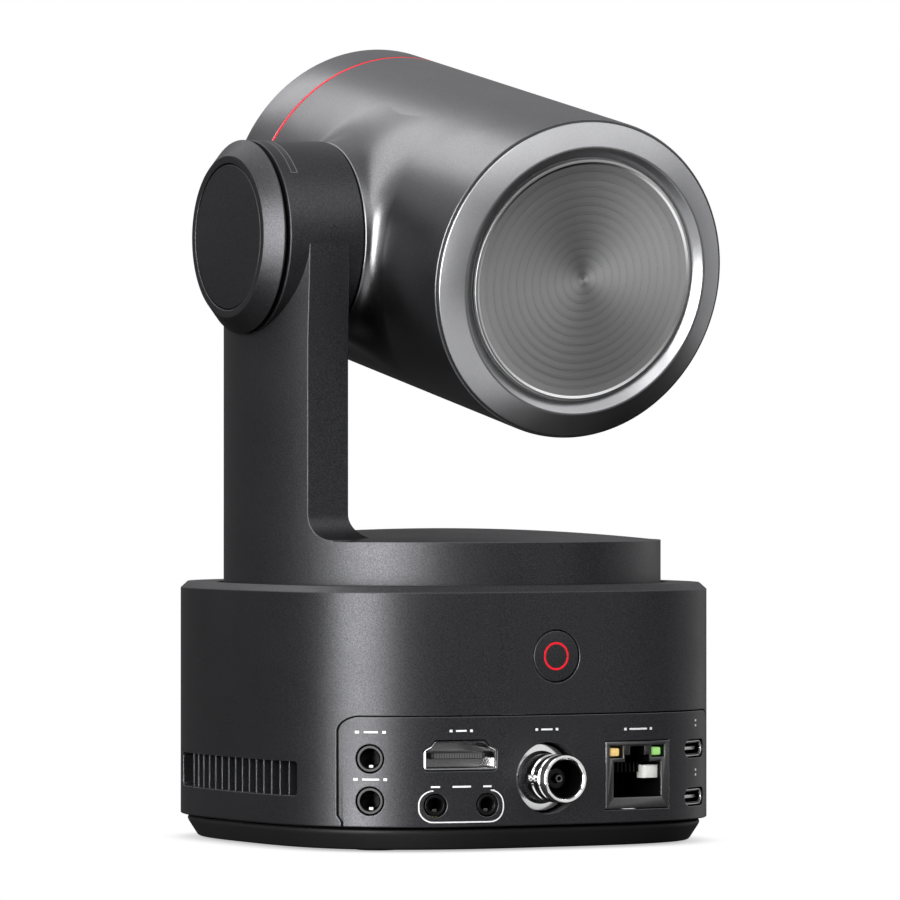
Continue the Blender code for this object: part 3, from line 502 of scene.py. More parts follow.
def wall_frame(x, z, half_width):
    """A frame on the rear wall: +Y out of it, +X along the chord across x +- half_width."""
    left, right = wall_y(x - half_width), wall_y(x + half_width)
    turn = math.atan2(right - left, 2 * half_width)
    return shift(x, (left + right) / 2, z) @ Matrix.Rotation(turn, 4, "Z")


HEAD_PLACE = shift(z=TILT_Z) @ Matrix.Rotation(math.radians(-HEAD_PITCH), 4, "X")
LENS_PLACE = HEAD_PLACE @ shift(HEAD_X)
HUB_PLACE = shift(z=TILT_Z)


def plain_object(name, made, matrix=None):
    """An object in the scene from a mesh under construction, which is used up."""
    mesh = bpy.data.meshes.new(name)
    made.to_mesh(mesh)
    made.free()
    obj = bpy.data.objects.new(name, mesh)
    bpy.context.scene.collection.objects.link(obj)
    obj.matrix_world = matrix or Matrix.Identity(4)
    return obj


def carve(obj, tools, bevel=0.0, segments=2):
    """Applies exact Booleans, given as (body, operation, matrix), then rounds sharp edges."""
    cutters = []
    for made, operation, matrix in tools:
        cutter = plain_object(f"{obj.name}_tool_{len(cutters)}", made, matrix)
        cutters.append(cutter)
        step = obj.modifiers.new("cut", "BOOLEAN")
        step.operation = operation
        step.solver = "EXACT"
        step.object = cutter
    if bevel:
        step = obj.modifiers.new("edges", "BEVEL")
        step.width = bevel * MM
        step.segments = segments
        step.limit_method = "ANGLE"
        step.angle_limit = math.radians(38)
        step.miter_outer = "MITER_ARC"
    bpy.context.view_layer.update()
    graph = bpy.context.evaluated_depsgraph_get()
    result = bpy.data.meshes.new_from_object(obj.evaluated_get(graph))
    obj.modifiers.clear()
    old = obj.data
    obj.data = result
    bpy.data.meshes.remove(old)
    for cutter in cutters:
        mesh = cutter.data
        bpy.data.objects.remove(cutter)
        bpy.data.meshes.remove(mesh)


def piece(name, made, slot, body, stands_for=(), matrix=None, tools=(), bevel=0.0,
          material=None, weighted=False, segments=2):
    """A finished, visible piece that rides on a body of the frame."""
    obj = plain_object(name, made, matrix)
    if tools or bevel:
        carve(obj, tools, bevel, segments)
    obj.data.materials.clear()
    obj.data.materials.append(material or FINISHES[slot])
    obj.data.shade_smooth()
    obj.data.set_sharp_from_angle(angle=math.radians(SHARP_ANGLE))
    if weighted:
        step = obj.modifiers.new("normals", "WEIGHTED_NORMAL")
        step.keep_sharp = True
        step.weight = 60
        graph = bpy.context.evaluated_depsgraph_get()
        result = bpy.data.meshes.new_from_object(obj.evaluated_get(graph))
        obj.modifiers.clear()
        obj.data = result
    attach(obj, body)
    if stands_for:
        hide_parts(*stands_for)


# ---------------------------------------------------------------- base

def base_shell():
    """The wall as a ring, with a rounded lower edge, a chamfer above and a flat lip."""
    outer = [(2.0, SEAM_Z), (0.0, SEAM_Z), (0.0, BASE_TOP_Z - TOP_CHAMFER),
             (TOP_CHAMFER, BASE_TOP_Z), (2.0, BASE_TOP_Z)]
    rounded = soften(outer, 0.35, False, 5)[1:-1]
    rings = [(superellipse(BASE_HALF - d), z) for d, z in rounded]
    lip = circle(TOP_HOLE_R, WALL_POINTS)
    near = circle(TOP_HOLE_R + 0.15, WALL_POINTS)
    rings += [(near, BASE_TOP_Z), (lip, BASE_TOP_Z - 0.15), (lip, BASE_TOP_Z - LIP_T)]
    inner = superellipse(BASE_HALF - WALL)
    rings += [(inner, BASE_TOP_Z - LIP_T), (inner, SEAM_Z)]
    return skin([[(x, y, z) for x, y in ring] for ring, z in rings], closed=True)


def panel_outline(grow):
    """The socket panel's edge: rounded above, stepping in just over the seam."""
    side, top, r = PANEL_HALF_X + grow, PANEL_TOP_Z + grow, PANEL_CORNER + grow
    foot = [(side - 0.6, SEAM_Z - 2), (side - 0.6, SEAM_Z + 1.0), (side, SEAM_Z + 2.4)]
    return ([(-foot[0][0], foot[0][1])] + foot + arc(side - r, top - r, r, 0, 90, 12)
            + arc(-side + r, top - r, r, 90, 180, 12) + [(-x, z) for x, z in foot[:0:-1]])


def video_outline(grow=0.0):
    """The video socket: full width below, shouldered in above, corners rounded."""
    w, h = VIDEO_W / 2, VIDEO_H / 2
    corners = [(-w, -h), (w, -h), (w, h - 1.9), (w - 1.4, h - 1.2), (w - 2.3, h),
               (-w + 2.3, h), (-w + 1.4, h - 1.2), (-w, h - 1.9)]
    return grown(soften(corners, 0.7, True, 5), grow)


def stadium(width, height, steps=12):
    r = height / 2 - 0.02
    side = width / 2 - r
    return (arc(side, 0, r, -90, 90, steps) + arc(-side, 0, r, 90, 270, steps))


def make_wall():
    vent = soften(rectangle(-VENT_HALF_Y, VENT_HALF_Y, VENT_LOW_Z, VENT_TOP_Z), 1.0, True, 8)
    button = circle(BUTTON_R + SOCKET_GAP, MIDDLE)
    tools = [(prism(panel_outline(PANEL_GAP), 25, 60, "Y"), "DIFFERENCE", None),
             (prism(vent, -60, 60, "X"), "DIFFERENCE", None),
             (prism(button, 40, 60, "Y"), "DIFFERENCE", shift(z=BUTTON_Z))]
    piece("base_wall", base_shell(), "graphite", "base", ["base_housing"], None, tools, 0.14,
          weighted=True)


def make_panel():
    well_r = COAX_WELL_R + 1.0
    well = lathe([(well_r, 41.0), (well_r, 47.5)], MIDDLE, "Y")
    coax_place = shift(COAX[0], 0, COAX[1])
    coax_hole = prism(circle(COAX_WELL_R, MIDDLE), 30, 60, "Y")
    tools = [(well, "UNION", coax_place),
             (prism(panel_outline(0), 25, 60, "Y"), "INTERSECT", None),
             (coax_hole, "DIFFERENCE", coax_place)]
    holes = []
    for _, (x, z), outer, _ in ROUND_JACKS:
        r = outer + SOCKET_GAP
        holes.append((circle(r, MIDDLE), wall_frame(x, z, r)))
    holes.append((video_outline(SOCKET_GAP), wall_frame(*VIDEO, VIDEO_W / 2)))
    w, h = NETWORK_W / 2 + 0.2, NETWORK_H / 2 + 0.2
    holes.append((rectangle(-w, w, -h, h), wall_frame(*NETWORK, NETWORK_W / 2)))
    for z in POWER_Z:
        holes.append((stadium(POWER_W + 0.6, POWER_H + 0.6), wall_frame(POWER_X, z, POWER_HALF)))
    tools += [(prism(outline, -8, 8, "Y"), "DIFFERENCE", place) for outline, place in holes]
    piece("socket_panel", base_shell(), "graphite", "base", ["io_panel"], None, tools, 0.10,
          weighted=True)


def make_foot():
    top = SEAM_Z - 0.3
    foot = [(COVER_INSET, FOOT_LIFT), (FOOT_LOW_INSET, FOOT_LIFT), (FOOT_TOP_INSET, top),
            (COVER_INSET, top), (COVER_INSET, top - 1.5)]
    rings = [(superellipse(BASE_HALF - d), z) for d, z in soften(foot, 0.9, False, 6)]
    piece("foot_skirt", skin([[(x, y, z) for x, y in ring] for ring, z in rings]), "foot_black",
          "base", ["bottom_cover"])
    profile = [(FOOT_PAD_R - 0.6, 0.0), (FOOT_PAD_R, 0.3), (FOOT_PAD_R, 1.5)]
    for i, (sx, sy) in enumerate(((1, 1), (-1, 1), (-1, -1), (1, -1))):
        pad = lathe(soften(profile, 0.3, False, 4), MIDDLE)
        piece(f"foot_pad_{i + 1}", pad, "rubber", "base", [f"rubber_foot_{i + 1}"],
              shift(FOOT_PAD_OFFSET * sx, FOOT_PAD_OFFSET * sy))


def make_vents():
    t = RIB_T / 2
    for name, side in (("left", 1), ("right", -1)):
        ribs = []
        for k in range(RIB_COUNT):
            u = (k - (RIB_COUNT - 1) / 2) * RIB_PITCH
            face = wall_y(u) - RIB_SETBACK
            back = face - RIB_DEPTH
            plan = soften([(face, u - t), (face, u + t), (back, u + t), (back, u - t)],
                          0.12, True, 3)
            ribs.append(prism([(side * x, y) for x, y in plan], VENT_LOW_Z - 0.2,
                              VENT_TOP_Z + 0.2))
        piece(f"vent_ribs_{name}", joined(*ribs), "graphite", "base", [f"vent_grille_{name}"])


# ---------------------------------------------------------------- sockets

def make_round_jacks():
    for name, (x, z), outer, bore in ROUND_JACKS:
        place = wall_frame(x, z, outer)
        profile = [(bore, -8.6), (bore, -0.35), (bore + 0.3, 0.12), (outer - 0.1, 0.12),
                   (outer, -0.1), (outer, -8.9), (0.2, -8.9), (0.2, -8.6)]
        # The bore is drawn in the darker metal, not its own jack metal: painted shade inside the
        # jack.
        piece(f"{name}_ferrule", turned_solid(profile, MIDDLE, "Y", 0.12), "jack_metal", "base",
              [f"{name}_jack"], place, material=PAINTED_SHADE_METAL)
        spring = prism(soften(rectangle(-0.45, 0.45, -bore - 0.1, -bore + 0.55), 0.15),
                       -6.0, -0.9, "Y")
        piece(f"{name}_spring", spring, "jack_metal", "base", (), place)


def make_video_socket():
    place = wall_frame(*VIDEO, VIDEO_W / 2)
    levels = [(-0.42, -9.4), (-0.42, -0.1), (-0.36, 0.12), (-0.1, 0.16), (0.0, 0.08),
              (0.0, -10.2)]
    rings = [[(u, h, v) for u, v in video_outline(d)] for d, h in levels]
    piece("video_shell", skin(rings), "chrome", "base", ["video_port_shell"], place)
    tongue = slab(rectangle(-5.6, 5.6, -0.75, 0.35), -9.3, -1.2, 0.15, "Y")
    piece("video_tongue", tongue, "black_plastic", "base", ["video_port_tongue"], place)
    contacts = []
    for k in range(19):
        x = (k - 9) * 0.53
        contacts.append(prism(rectangle(x - 0.2, x + 0.2, -0.6, 0.42), -8.8, -1.1, "Y"))
    piece("video_contacts", joined(*contacts), "steel", "base", (), place)


def make_coax_socket():
    place = shift(COAX[0], BASE_HALF, COAX[1])
    profile = [(3.95, -4.0), (3.95, COAX_REACH - 0.25), (4.2, COAX_REACH), (4.65, COAX_REACH),
               (4.8, COAX_REACH - 0.2), (4.8, 5.1), (4.55, 4.9), (4.55, 4.5), (4.8, 4.3),
               (4.8, 3.2), (4.5, 3.0), (4.5, 1.6), (4.8, 1.4), (4.8, -2.8), (5.3, -3.2),
               (6.7, -3.2), (6.7, -4.2), (5.4, -4.4), (5.4, -5.6), (3.0, -5.6), (3.0, -4.0)]
    body = turned_solid(profile, ROUND, "Y", 0.12)
    lugs = [moved(lathe([(1.0, low), (1.0, low + 1.5)], 32, "X"), shift(0, 1.6, 0))
            for low in (4.4, -5.9)]
    piece("coax_shell", joined(body, *lugs), "chrome", "base", ["coax_body"], place)
    insulator = [(3.9, -3.6), (3.9, -1.0), (2.25, -1.0), (2.1, 3.2), (0.9, 3.2), (0.9, 1.6)]
    # The insulator is drawn in the darker metal, not its white plastic: painted shade inside the
    # barrel.
    piece("coax_insulator", lathe(soften(insulator, 0.15, False), MIDDLE, "Y"), "white_plastic",
          "base", ["coax_contact"], place, material=PAINTED_SHADE_METAL)
    # A dark sleeve just inside the barrel: painted shade.
    shade_sleeve = tube_profile(3.94, 3.75, -3.9, COAX_REACH - 0.5)
    piece("coax_shade_sleeve", turned_solid(shade_sleeve, MIDDLE, "Y", 0.04), "black_plastic", "base", (), place,
          material=PAINTED_SHADE_METAL)
    pin = tube_profile(0.75, 0.45, 1.0, 4.4)
    piece("coax_pin", turned_solid(pin, 48, "Y", 0.06), "jack_metal", "base", (), place)


def make_network_socket():
    place = wall_frame(*NETWORK, NETWORK_W / 2)
    w, h = NETWORK_W / 2, NETWORK_H / 2
    cavity = [(-6.1, -h + 2.2), (6.1, -h + 2.2), (6.1, 2.6), (3.2, 2.6), (3.2, 4.0), (1.9, 4.0),
              (1.9, h - 1.0), (-1.9, h - 1.0), (-1.9, 4.0), (-3.2, 4.0), (-3.2, 2.6), (-6.1, 2.6)]
    windows = [rectangle(x - 1.7, x + 1.7, 3.4, 5.9) for x in (-LAMP_X, LAMP_X)]

    def tools():
        return ([(prism(cavity, -14.5, 3, "Y"), "DIFFERENCE", place)]
                + [(prism(window, -3.0, 3.0, "Y"), "DIFFERENCE", place) for window in windows])

    shell = slab(rectangle(-w, w, -h, h), -15.5, -0.27, 0.15, "Y")
    # The shell round the cavity is drawn in the darker metal and its front frame in the socket
    # metal: painted shade inside the socket.
    piece("network_shell", shell, "jack_metal", "base", ["network_jack_shell"], place,
          tools(), 0.08, material=PAINTED_SHADE_METAL)
    frame = slab(rectangle(-w, w, -h, h), -0.25, 0.1, 0.08, "Y")
    piece("network_frame", frame, "jack_metal", "base", ["network_jack_shell"], place,
          tools(), 0.05)
    for name, x in (("link_lamp_green", -LAMP_X), ("link_lamp_amber", LAMP_X)):
        lens = slab(soften(rectangle(x - 1.15, x + 1.15, 3.8, 5.4), 0.4), -2.6, -0.4, 0.3, "Y")
        piece(f"{name}_lens", lens, name.replace("link_", ""), "base", [name], place)
    wires = []
    for k in range(8):
        x = -3.56 + k * 1.02
        wires.append(prism(rectangle(x - 0.16, x + 0.16, 2.2, 2.45), -13.8, -3.0, "Y"))
        wires.append(prism(rectangle(x - 0.16, x + 0.16, 0.4, 2.4), -3.3, -3.0, "Y"))
    # The contacts are drawn in the darker metal, not brass: painted shade deep in the socket.
    piece("network_wires", joined(*wires), "brass", "base", ["network_jack_contacts"], place,
          material=PAINTED_SHADE_METAL)
    block = slab(rectangle(-6.0, -2.7, -0.8, 1.8), -3.6, -0.9, 0.15, "Y")
    piece("network_block", block, "white_plastic", "base", (), place)


def make_power_sockets():
    def sleeve(levels):
        """A sleeve that follows the socket's outline, given as (growth, depth)."""
        return skin([[(u, y, v) for u, v in grown(stadium(POWER_W, POWER_H), d)]
                     for d, y in levels])

    for name, z in zip(("upper", "lower"), POWER_Z):
        place = wall_frame(POWER_X, z, POWER_HALF)
        shell = sleeve([(-0.3, -7.0), (-0.3, -0.6), (-0.22, -0.42), (-0.06, -0.42),
                        (0.0, -0.55), (0.0, -8.0)])
        tongue = slab(rectangle(-3.3, 3.3, -0.35, 0.35), -7.4, -1.3, 0.12, "Y")
        piece(f"power_shell_{name}", joined(shell, tongue), "steel", "base",
              [f"power_port_{name}"], place)
        # A dark sleeve just inside each shell: painted shade inside the socket.
        shade_sleeve = sleeve([(-0.33, -6.8), (-0.33, -0.8), (-0.5, -0.8), (-0.5, -6.8)])
        piece(f"power_liner_{name}", shade_sleeve, "black_plastic", "base", (), place,
              material=PAINTED_SHADE_METAL)


def make_record_button():
    place = shift(0, BASE_HALF, BUTTON_Z)
    cap = [(1.6, -4.6), (1.6, -2.4), (BUTTON_R, -2.4), (BUTTON_R, -0.05), (0.4, -0.05)]
    piece("record_cap", lathe(soften(cap, 0.22, False), MIDDLE, "Y"), "graphite", "button",
          ["record_button"], place)
    ring = tube_profile(2.82, 2.4, -0.3, -0.03)
    piece("record_ring", turned_solid(ring, MIDDLE, "Y", 0.03), "accent_red", "button", (), place)


# ---------------------------------------------------------------- marks on the panel

def ribbon(path, width):
    """A flat printed line just over the rear wall, along (x, z) points."""
    points = [Vector(point) for point in path]
    made = bmesh.new()
    left, right = [], []
    for i, here in enumerate(points):
        heading = (points[min(i + 1, len(points) - 1)] - points[max(i - 1, 0)]).normalized()
        side = Vector((-heading.y, heading.x)) * width / 2
        for row, point in ((left, here + side), (right, here - side)):
            row.append(made.verts.new(Vector((point.x, wall_y(point.x) + 0.02, point.y)) * MM))
    for i in range(len(points) - 1):
        made.faces.new((left[i], left[i + 1], right[i + 1], right[i]))
    bmesh.ops.recalc_face_normals(made, faces=made.faces)
    return made


def line(start, end, steps=12):
    a, b = Vector(start), Vector(end)
    return [tuple(a.lerp(b, k / steps)) for k in range(steps + 1)]


def bar(x, z, half):
    return ribbon(line((x - half, z), (x + half, z)), STROKE)


def dot(x, z, radius):
    """A mark nearly as tall as it is wide."""
    return ribbon(line((x - radius, z), (x + radius, z), 8), radius * 1.7)


def bracket():
    """The line round the two serial jacks, open above between them."""
    low, high = SEAM_Z + 1.05, SEAM_Z + 7.3
    left, right, r = 29.4, 12.0, 2.8
    path = (line((right + 1.9, high), (right + r, high), 3)
            + arc(right + r, high - r, r, 90, 180, 10)
            + arc(right + r, low + r, r, 180, 270, 10)
            + line((right + r, low), (left - r, low), 16)
            + arc(left - r, low + r, r, 270, 360, 10)
            + arc(left - r, high - r, r, 0, 90, 10)
            + line((left - r + 0.7, high), (left - r, high), 2))
    return ribbon(path, BRACKET_LINE)


def make_marks():
    """The bracket, and plain strokes where a product carries names."""
    parts = [bracket()]
    labels = ((MIC[0], 19.0, 4.2), (LINE[0], 9.6, 4.6), (VIDEO[0], 19.2, 4.2),
              (COAX[0] + 0.4, 19.2, 4.6), (NETWORK[0], 18.9, 6.4))
    for x, height, width in labels:
        z = SEAM_Z + height
        parts.append(bar(x, z, width / 2 - 1.0))
        parts += [dot(x + side * width / 2, z, 0.3) for side in (-1, 1)]
    for x, half in ((SERIAL_IN[0], 0.9), (SERIAL_OUT[0], 0.9), (20.9, 1.9)):
        parts.append(bar(x, SEAM_Z + LABEL_LOW_Z, half))
    for height in (19.6, 9.6):
        parts += [dot(POWER_X, SEAM_Z + height + d, 0.26) for d in (-0.5, 0.5)]
    piece("panel_marks", joined(*parts), "white_plastic", "base", (), None,
          material=PRINT_WHITE)


# ---------------------------------------------------------------- yoke

def arm_ring(z):
    """The arm's plan at height z, its foot spreading in a hollow fillet."""
    height = max(0.0, z - TABLE_RIM_Z - 0.4)
    spread = 0.0
    if height < ARM_FILLET:
        spread = ARM_FILLET - math.sqrt(ARM_FILLET ** 2 - (ARM_FILLET - height) ** 2)
    rise = min(1.0, max(0.0, 1 - (TILT_Z - z) / ARM_WIDENING))
    half = ARM_HALF_Y + spread + (HUB_R - 0.06 - ARM_HALF_Y) * rise * rise * (3 - 2 * rise)
    inner = ARM_INNER_X - spread
    over = TABLE_R + 1.4
    reach = math.degrees(math.asin(half / over))
    ring = [(inner, half), (inner, -half)] + arc(0, 0, over, -reach, reach, 24)
    return [(x, y, z) for x, y in ring]


def make_yoke():
    """The turntable with its domed top, and the arm up to the hub, cut to one radius."""
    over = TABLE_R + 2.3
    skirt_r = TABLE_R - 2.6
    underside = TABLE_RIM_Z - 3.6
    top = [(r, TABLE_RIM_Z + DOME_RISE * (1 - (r / TABLE_R) ** 2)) for r in range(2, 47, 3)]
    core = top + [(over, TABLE_RIM_Z), (over, TABLE_LOW_Z - 2), (skirt_r, TABLE_LOW_Z - 2),
                  (skirt_r, underside), (2, underside)]
    heights = [underside + 0.8]
    heights += [TABLE_RIM_Z + 0.4 + ARM_FILLET * (1 - math.cos(math.radians(a)))
                for a in range(0, 91, 6)]
    heights += [TILT_Z - ARM_WIDENING * (1 - k / 12) for k in range(13)]
    trim = lathe([(TABLE_R, TABLE_LOW_Z), (TABLE_R, TILT_Z + 4)], ROUND)
    seat = lathe([(HUB_R + 0.02, HUB_OUTER_X), (HUB_R + 0.02, HUB_OUTER_X + 4)], 180, "X")
    tools = [(skin([arm_ring(z) for z in heights]), "UNION", None), (trim, "INTERSECT", None),
             (seat, "DIFFERENCE", HUB_PLACE)]
    piece("yoke_body", lathe(core, 250), "graphite", "yoke", ["yoke_shell"], None, tools, 0.24,
          weighted=True, segments=3)


def bent_bar(span, turns, inner, outer):
    """A bar bent round the hub, from one turn to the other in degrees from the top."""
    start, stop = turns
    section = ((span[0], inner), (span[1], inner), (span[1], outer), (span[0], outer))
    angles = [math.radians(start + (stop - start) * k / 24) for k in range(25)]
    return skin([[(x, r * math.sin(a), r * math.cos(a)) for x, r in section] for a in angles])


def make_hub():
    """The hollow hub with the status strip's slot cut in its side."""
    hub = [(HUB_LIP_R, HUB_INNER_X), (HUB_R, HUB_INNER_X), (HUB_R, HUB_OUTER_X),
           (HUB_HOLLOW_R, HUB_OUTER_X), (HUB_HOLLOW_R, HUB_HOLLOW_X), (HUB_LIP_R, HUB_HOLLOW_X)]
    slot = bent_bar(TALLY_X, (2, TALLY_TURN), HUB_R - 0.25, HUB_R + 1.3)
    piece("yoke_hub", turned_solid(hub, ROUND, "X", 0.3), "graphite", "yoke", ["yoke_shell"],
          HUB_PLACE, [(slot, "DIFFERENCE", HUB_PLACE)], 0.05, weighted=True)


def make_tally():
    """The status strip let into the hub, with a thin bright outline that is a painted highlight
    along the slot's edges.
    """
    low, high = TALLY_X
    floor_r = HUB_R - 0.3
    lens = bent_bar((low + 0.12, high - 0.12), (2.4, TALLY_TURN - 0.4), floor_r - 0.04,
                    HUB_R - 0.04)
    piece("tally_lens", lens, "smoked", "yoke", ["tally_strip"], HUB_PLACE)
    # Thin bright strips along the slot: painted highlights where its edges catch the light.
    sides = [((low - 0.02, low + 0.12), (2.0, TALLY_TURN)),
             ((high - 0.12, high + 0.02), (2.0, TALLY_TURN)),
             ((low + 0.1, high - 0.1), (1.9, 2.3)),
             ((low + 0.1, high - 0.1), (TALLY_TURN - 0.3, TALLY_TURN + 0.1))]
    edges = joined(*[bent_bar(span, turns, floor_r, HUB_R) for span, turns in sides])
    piece("tally_painted_highlight", edges, "satin_rim", "yoke", (), HUB_PLACE, material=PAINTED_SLOT_HIGHLIGHT)


def make_hub_cap():
    """The cap's ring and the flat disc inside it."""
    back = HUB_OUTER_X + 0.3
    edge = HUB_OUTER_X + 1.1
    inside = HUB_DISC_R + 0.25
    cap = [(inside, back), (18.4, back), (18.4, edge), (HUB_R, edge), (HUB_R, edge + 0.35),
           (HUB_FACE_R, HUB_CAP_X), (inside, HUB_CAP_X)]
    piece("hub_ring", turned_solid(cap, ROUND, "X", 0.15), "graphite", "yoke", ["hub_cap"],
          HUB_PLACE)
    face = HUB_CAP_X - 0.15
    disc = [(HUB_DISC_R, edge + 0.5), (HUB_DISC_R, face), (0.5, face)]
    piece("hub_face", lathe(soften(disc, 0.2, False), ROUND, "X"), "graphite", "yoke",
          ["hub_disc"], HUB_PLACE)


# ---------------------------------------------------------------- head

def boss_surface():
    """The round boss that meets the hub, its side sweeping out into the head's side. At each
    angle round the tilt axis a cubic runs from the boss's edge to the cylinder."""
    edge = 0.45
    rings = [[(BOSS_END_X, u, v) for u, v in circle(r, ROUND)] for r in (12.0, 15.0, HUB_R - edge)]
    for a in (22.5, 45, 67.5):
        turn = math.radians(a)
        r = HUB_R - edge + edge * math.sin(turn)
        x = BOSS_END_X - edge * (1 - math.cos(turn))
        rings.append([(x, u, v) for u, v in circle(r, ROUND)])
    steps = 28
    rings += [[sweep_point(math.tau * i / ROUND, k / steps, BOSS_END_X - edge)
               for i in range(ROUND)] for k in range(steps + 4)]
    return skin(rings, caps=False)


def sweep_point(angle, t, first_x):
    """Where the sweep is at t from the boss (0) to the cylinder (1), then just under it."""
    c, s = math.cos(angle), math.sin(angle)
    side = HEAD_X + math.sqrt(HEAD_R ** 2 - (HUB_R * s) ** 2)
    reach = HUB_R + 1.2 * (BOSS_END_X - side)
    flat = math.sqrt(HEAD_R ** 2 - (reach * s) ** 2)
    start = Vector((first_x, HUB_R))
    end = Vector((HEAD_X + flat, reach))
    length = (end - start).length
    leave = Vector((-1, 0)) * length
    arrive = Vector((-reach * s * s / flat, 1)).normalized() * length
    if t <= 1:
        point = ((2 * t ** 3 - 3 * t ** 2 + 1) * start + (t ** 3 - 2 * t ** 2 + t) * leave
                 + (3 * t ** 2 - 2 * t ** 3) * end + (t ** 3 - t ** 2) * arrive)
        sink = 0.004 * t
    else:
        beyond = reach + (t - 1) * length * (1 - abs(s)) * 0.5
        point = Vector((HEAD_X + math.sqrt(HEAD_R ** 2 - (beyond * s) ** 2), beyond))
        sink = 0.004 + 0.12 * (t - 1)
    return (point.x - sink, point.y * c, point.y * s)


def make_head():
    inner = HEAD_R - HEAD_WALL
    tube = [(inner, HEAD_SEAM), (HEAD_R, HEAD_SEAM), (HEAD_R, HEAD_REAR), (inner, HEAD_REAR)]
    piece("head_tube", turned_solid(tube, ROUND, "Y", 0.3), "head_metal", "head", ["head_shell"],
          LENS_PLACE)
    piece("head_boss", boss_surface(), "head_metal", "head", ["head_shell"], HEAD_PLACE)
    lip = HEAD_REAR + 0.1
    rim = lip + BEZEL_RISE
    bezel = [(inner - 0.3, lip), (31.95, lip), (31.95, lip + 0.35), (BEZEL_IN_R, rim),
             (BEZEL_IN_R - 0.45, rim), (REAR_DISC_R + 1.3, rim - 1.1),
             (REAR_DISC_R + 0.3, rim - 1.9), (REAR_DISC_R - 2.0, rim - 2.0),
             (REAR_DISC_R - 2.0, rim - 4.0), (inner - 0.3, rim - 4.0)]
    piece("rear_rim", turned_solid(bezel, ROUND, "Y", 0.2), "satin_rim", "head", ["rear_bezel"],
          LENS_PLACE)
    plate = [(REAR_DISC_R - 2.6, rim - 4.0), (REAR_DISC_R - 2.6, rim - 1.7),
             (REAR_DISC_R, rim - 1.7), (REAR_DISC_R, rim - 0.75), (REAR_DISC_R - 0.5, rim - 0.7),
             (REAR_DISC_R - 1.0, rim - 0.95)]
    plate += [(r, rim - 0.95) for r in (20.0, 16.0, 12.0, 8.0, 4.0, 1.0, 0.15)]
    piece("rear_plate", lathe(soften(plate, 0.12, False), ROUND, "Y"), "turned_metal", "head",
          ["rear_disc"], LENS_PLACE)
    front = HEAD_SEAM - 0.03
    ring = tube_profile(HEAD_R, HEAD_R - 2.0, front - RING_W, front)
    piece("red_ring", turned_solid(ring, ROUND, "Y", 0.08), "accent_red", "head",
          ["accent_ring"], LENS_PLACE)


def make_front():
    seam = HEAD_SEAM - RING_W - 0.06
    barrel = [(HEAD_R, seam), (HEAD_R, HEAD_FRONT + 0.5), (HEAD_R - 0.5, HEAD_FRONT),
              (HEAD_R - 3.2, HEAD_FRONT), (HEAD_R - 3.2, seam)]
    piece("front_tube", turned_solid(barrel, ROUND, "Y", 0.5), "head_metal", "roll_front",
          ["front_barrel"], LENS_PLACE)
    hood_r = HEAD_R - 3.5
    bezel = [(hood_r, HEAD_FRONT + 0.8), (25.0, HEAD_FRONT + 2.6), (24.6, HEAD_FRONT + 2.8),
             (21.0, HEAD_FRONT + 5.0), (21.0, HEAD_FRONT + 7.2),
             (18.4, HEAD_FRONT + 7.2), (18.4, HEAD_FRONT + 9.5), (hood_r, HEAD_FRONT + 9.5)]
    piece("front_hood", turned_solid(bezel, ROUND, "Y", 0.25), "black_plastic", "roll_front",
          ["front_bezel"], LENS_PLACE)
    glass = [(0.5 + 20.1 * k / 24, HEAD_FRONT + 3.9 + 2.7 * (k / 24) ** 2) for k in range(25)]
    glass += [(20.6, HEAD_FRONT + 6.9), (6.0, HEAD_FRONT + 6.9)]
    piece("front_lens", lathe(glass, ROUND, "Y"), "glass", "roll_front", ["front_glass"],
          LENS_PLACE)


# ---------------------------------------------------------------- studio

def direction(azimuth, elevation):
    """A direction from the object; azimuth 0 is the camera's, positive to the picture's left."""
    turn = math.atan2(CAMERA_AT[1], CAMERA_AT[0]) - math.radians(azimuth)
    rise = math.radians(elevation)
    return Vector((math.cos(turn) * math.cos(rise), math.sin(turn) * math.cos(rise),
                   math.sin(rise)))


def softbox(name, azimuth, elevation, wide, tall, radiance):
    """An area light that covers wide by tall degrees, seen from the object."""
    towards = direction(azimuth, elevation)
    data = bpy.data.lights.new(name, "AREA")
    data.shape = "RECTANGLE"
    data.size = 2 * LIGHT_DISTANCE * math.tan(math.radians(wide) / 2)
    data.size_y = 2 * LIGHT_DISTANCE * math.tan(math.radians(tall) / 2)
    data.energy = radiance * math.pi * data.size * data.size_y
    lamp = bpy.data.objects.new(name, data)
    bpy.context.scene.collection.objects.link(lamp)
    lamp.location = Vector(LIGHT_AIM) + LIGHT_DISTANCE * towards
    lamp.rotation_euler = (-towards).to_track_quat("-Z", "Y").to_euler()


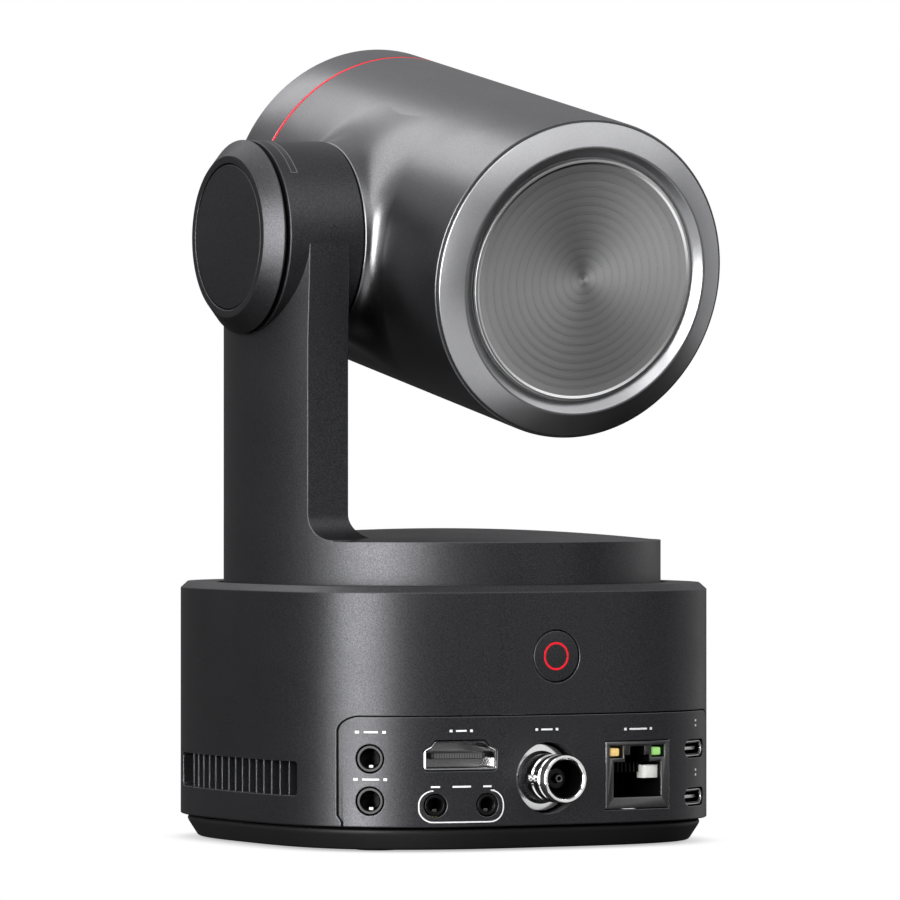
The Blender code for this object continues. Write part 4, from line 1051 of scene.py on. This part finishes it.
def make_world():
    """White behind the camera's view; a dim room, darker below and lighter above, for light."""
    world = bpy.data.worlds.new("studio")
    bpy.context.scene.world = world
    world.use_nodes = True
    tree = world.node_tree
    back = tree.nodes["Background"]
    back.inputs["Color"].default_value = (1, 1, 1, 1)
    place = tree.nodes.new("ShaderNodeTexCoord")
    parts = tree.nodes.new("ShaderNodeSeparateXYZ")
    half = tree.nodes.new("ShaderNodeMapRange")
    half.inputs["From Min"].default_value = -1.0
    ramp = tree.nodes.new("ShaderNodeValToRGB")
    stops = ((0.0, 0.004), (0.21, 0.006), (0.33, 0.03), (0.42, 0.06), (0.50, 0.12), (0.60, 0.24),
             (0.67, 0.36), (0.82, 0.60), (0.93, 0.70), (1.0, 0.40))
    ramp.color_ramp.elements.remove(ramp.color_ramp.elements[1])
    for i, (at, level) in enumerate(stops):
        stop = ramp.color_ramp.elements[0] if i == 0 else ramp.color_ramp.elements.new(at)
        stop.position = at
        stop.color = (level, level, level * 1.02, 1)
    fill = tree.nodes.new("ShaderNodeBackground")
    ray = tree.nodes.new("ShaderNodeLightPath")
    choose = tree.nodes.new("ShaderNodeMixShader")
    link = tree.links.new
    link(place.outputs["Generated"], parts.inputs[0])
    link(parts.outputs["Z"], half.inputs["Value"])
    link(half.outputs["Result"], ramp.inputs[0])
    link(ramp.outputs[0], fill.inputs["Color"])
    link(ray.outputs["Is Camera Ray"], choose.inputs[0])
    link(fill.outputs[0], choose.inputs[1])
    link(back.outputs[0], choose.inputs[2])
    link(choose.outputs[0], tree.nodes["World Output"].inputs["Surface"])


def make_floor():
    """A pale floor that only the camera sees, with a painted contact shadow: a little darker right
    beside the foot.
    """
    n = Nodes("floor_pale")
    # Painted shadow: the floor's glow is darkened where occlusion finds the foot close by.
    shade = n.add("ShaderNodeAmbientOcclusion", {"Distance": 0.008}, samples=8)
    light = n.spread(shade.outputs["AO"], 0.0, 1.0, 0.0, 0.8)
    glow = n.add("ShaderNodeEmission", {"Color": n.blend(light, grey(190), (1, 1, 1, 1))})
    n.tree.links.new(glow.outputs[0], n.tree.nodes["Material Output"].inputs["Surface"])
    floor = plain_object("floor", prism(circle(2500, 96), -20, -0.02))
    floor.data.materials.append(n.material)
    floor.visible_diffuse = False
    floor.visible_glossy = False
    floor.visible_transmission = False


def make_lights():
    softbox("key", 34, 4, 38, 46, 14.5)
    softbox("top", 72, 68, 110, 30, 2.3)
    softbox("fill_high", -52, 37, 80, 34, 1.35)
    softbox("fill_low", -4, -46, 64, 36, 1.2)
    softbox("fill_side", -124, 8, 50, 56, 0.65)
    softbox("fan_card", -57, -1, 22, 24, 0.8)


def make_camera():
    data = bpy.data.cameras.new("view")
    data.lens = CAMERA_LENS
    data.sensor_width = 36.0
    data.shift_x, data.shift_y = CAMERA_SHIFT
    data.clip_start = 0.05
    data.clip_end = 20.0
    camera = bpy.data.objects.new("view", data)
    bpy.context.scene.collection.objects.link(camera)
    camera.location = CAMERA_AT
    camera.rotation_euler = (math.radians(90), 0, math.radians(CAMERA_TURN))
    bpy.context.scene.camera = camera
    bpy.context.scene.view_settings.view_transform = "Standard"


def dress_frame():
    """The pieces kept from the frame take the finish of their own material slot."""
    for obj in frame["nodes"].values():
        for i, old in enumerate(obj.data.materials):
            name = old.name.split(".")[0] if old else ""
            if name in FINISHES:
                obj.data.materials[i] = FINISHES[name]


dress_frame()
make_wall()
make_panel()
make_foot()
make_vents()
make_round_jacks()
make_video_socket()
make_coax_socket()
make_network_socket()
make_power_sockets()
make_record_button()
make_marks()
make_yoke()
make_hub()
make_tally()
make_hub_cap()
make_head()
make_front()
make_world()
make_floor()
make_lights()
make_camera()
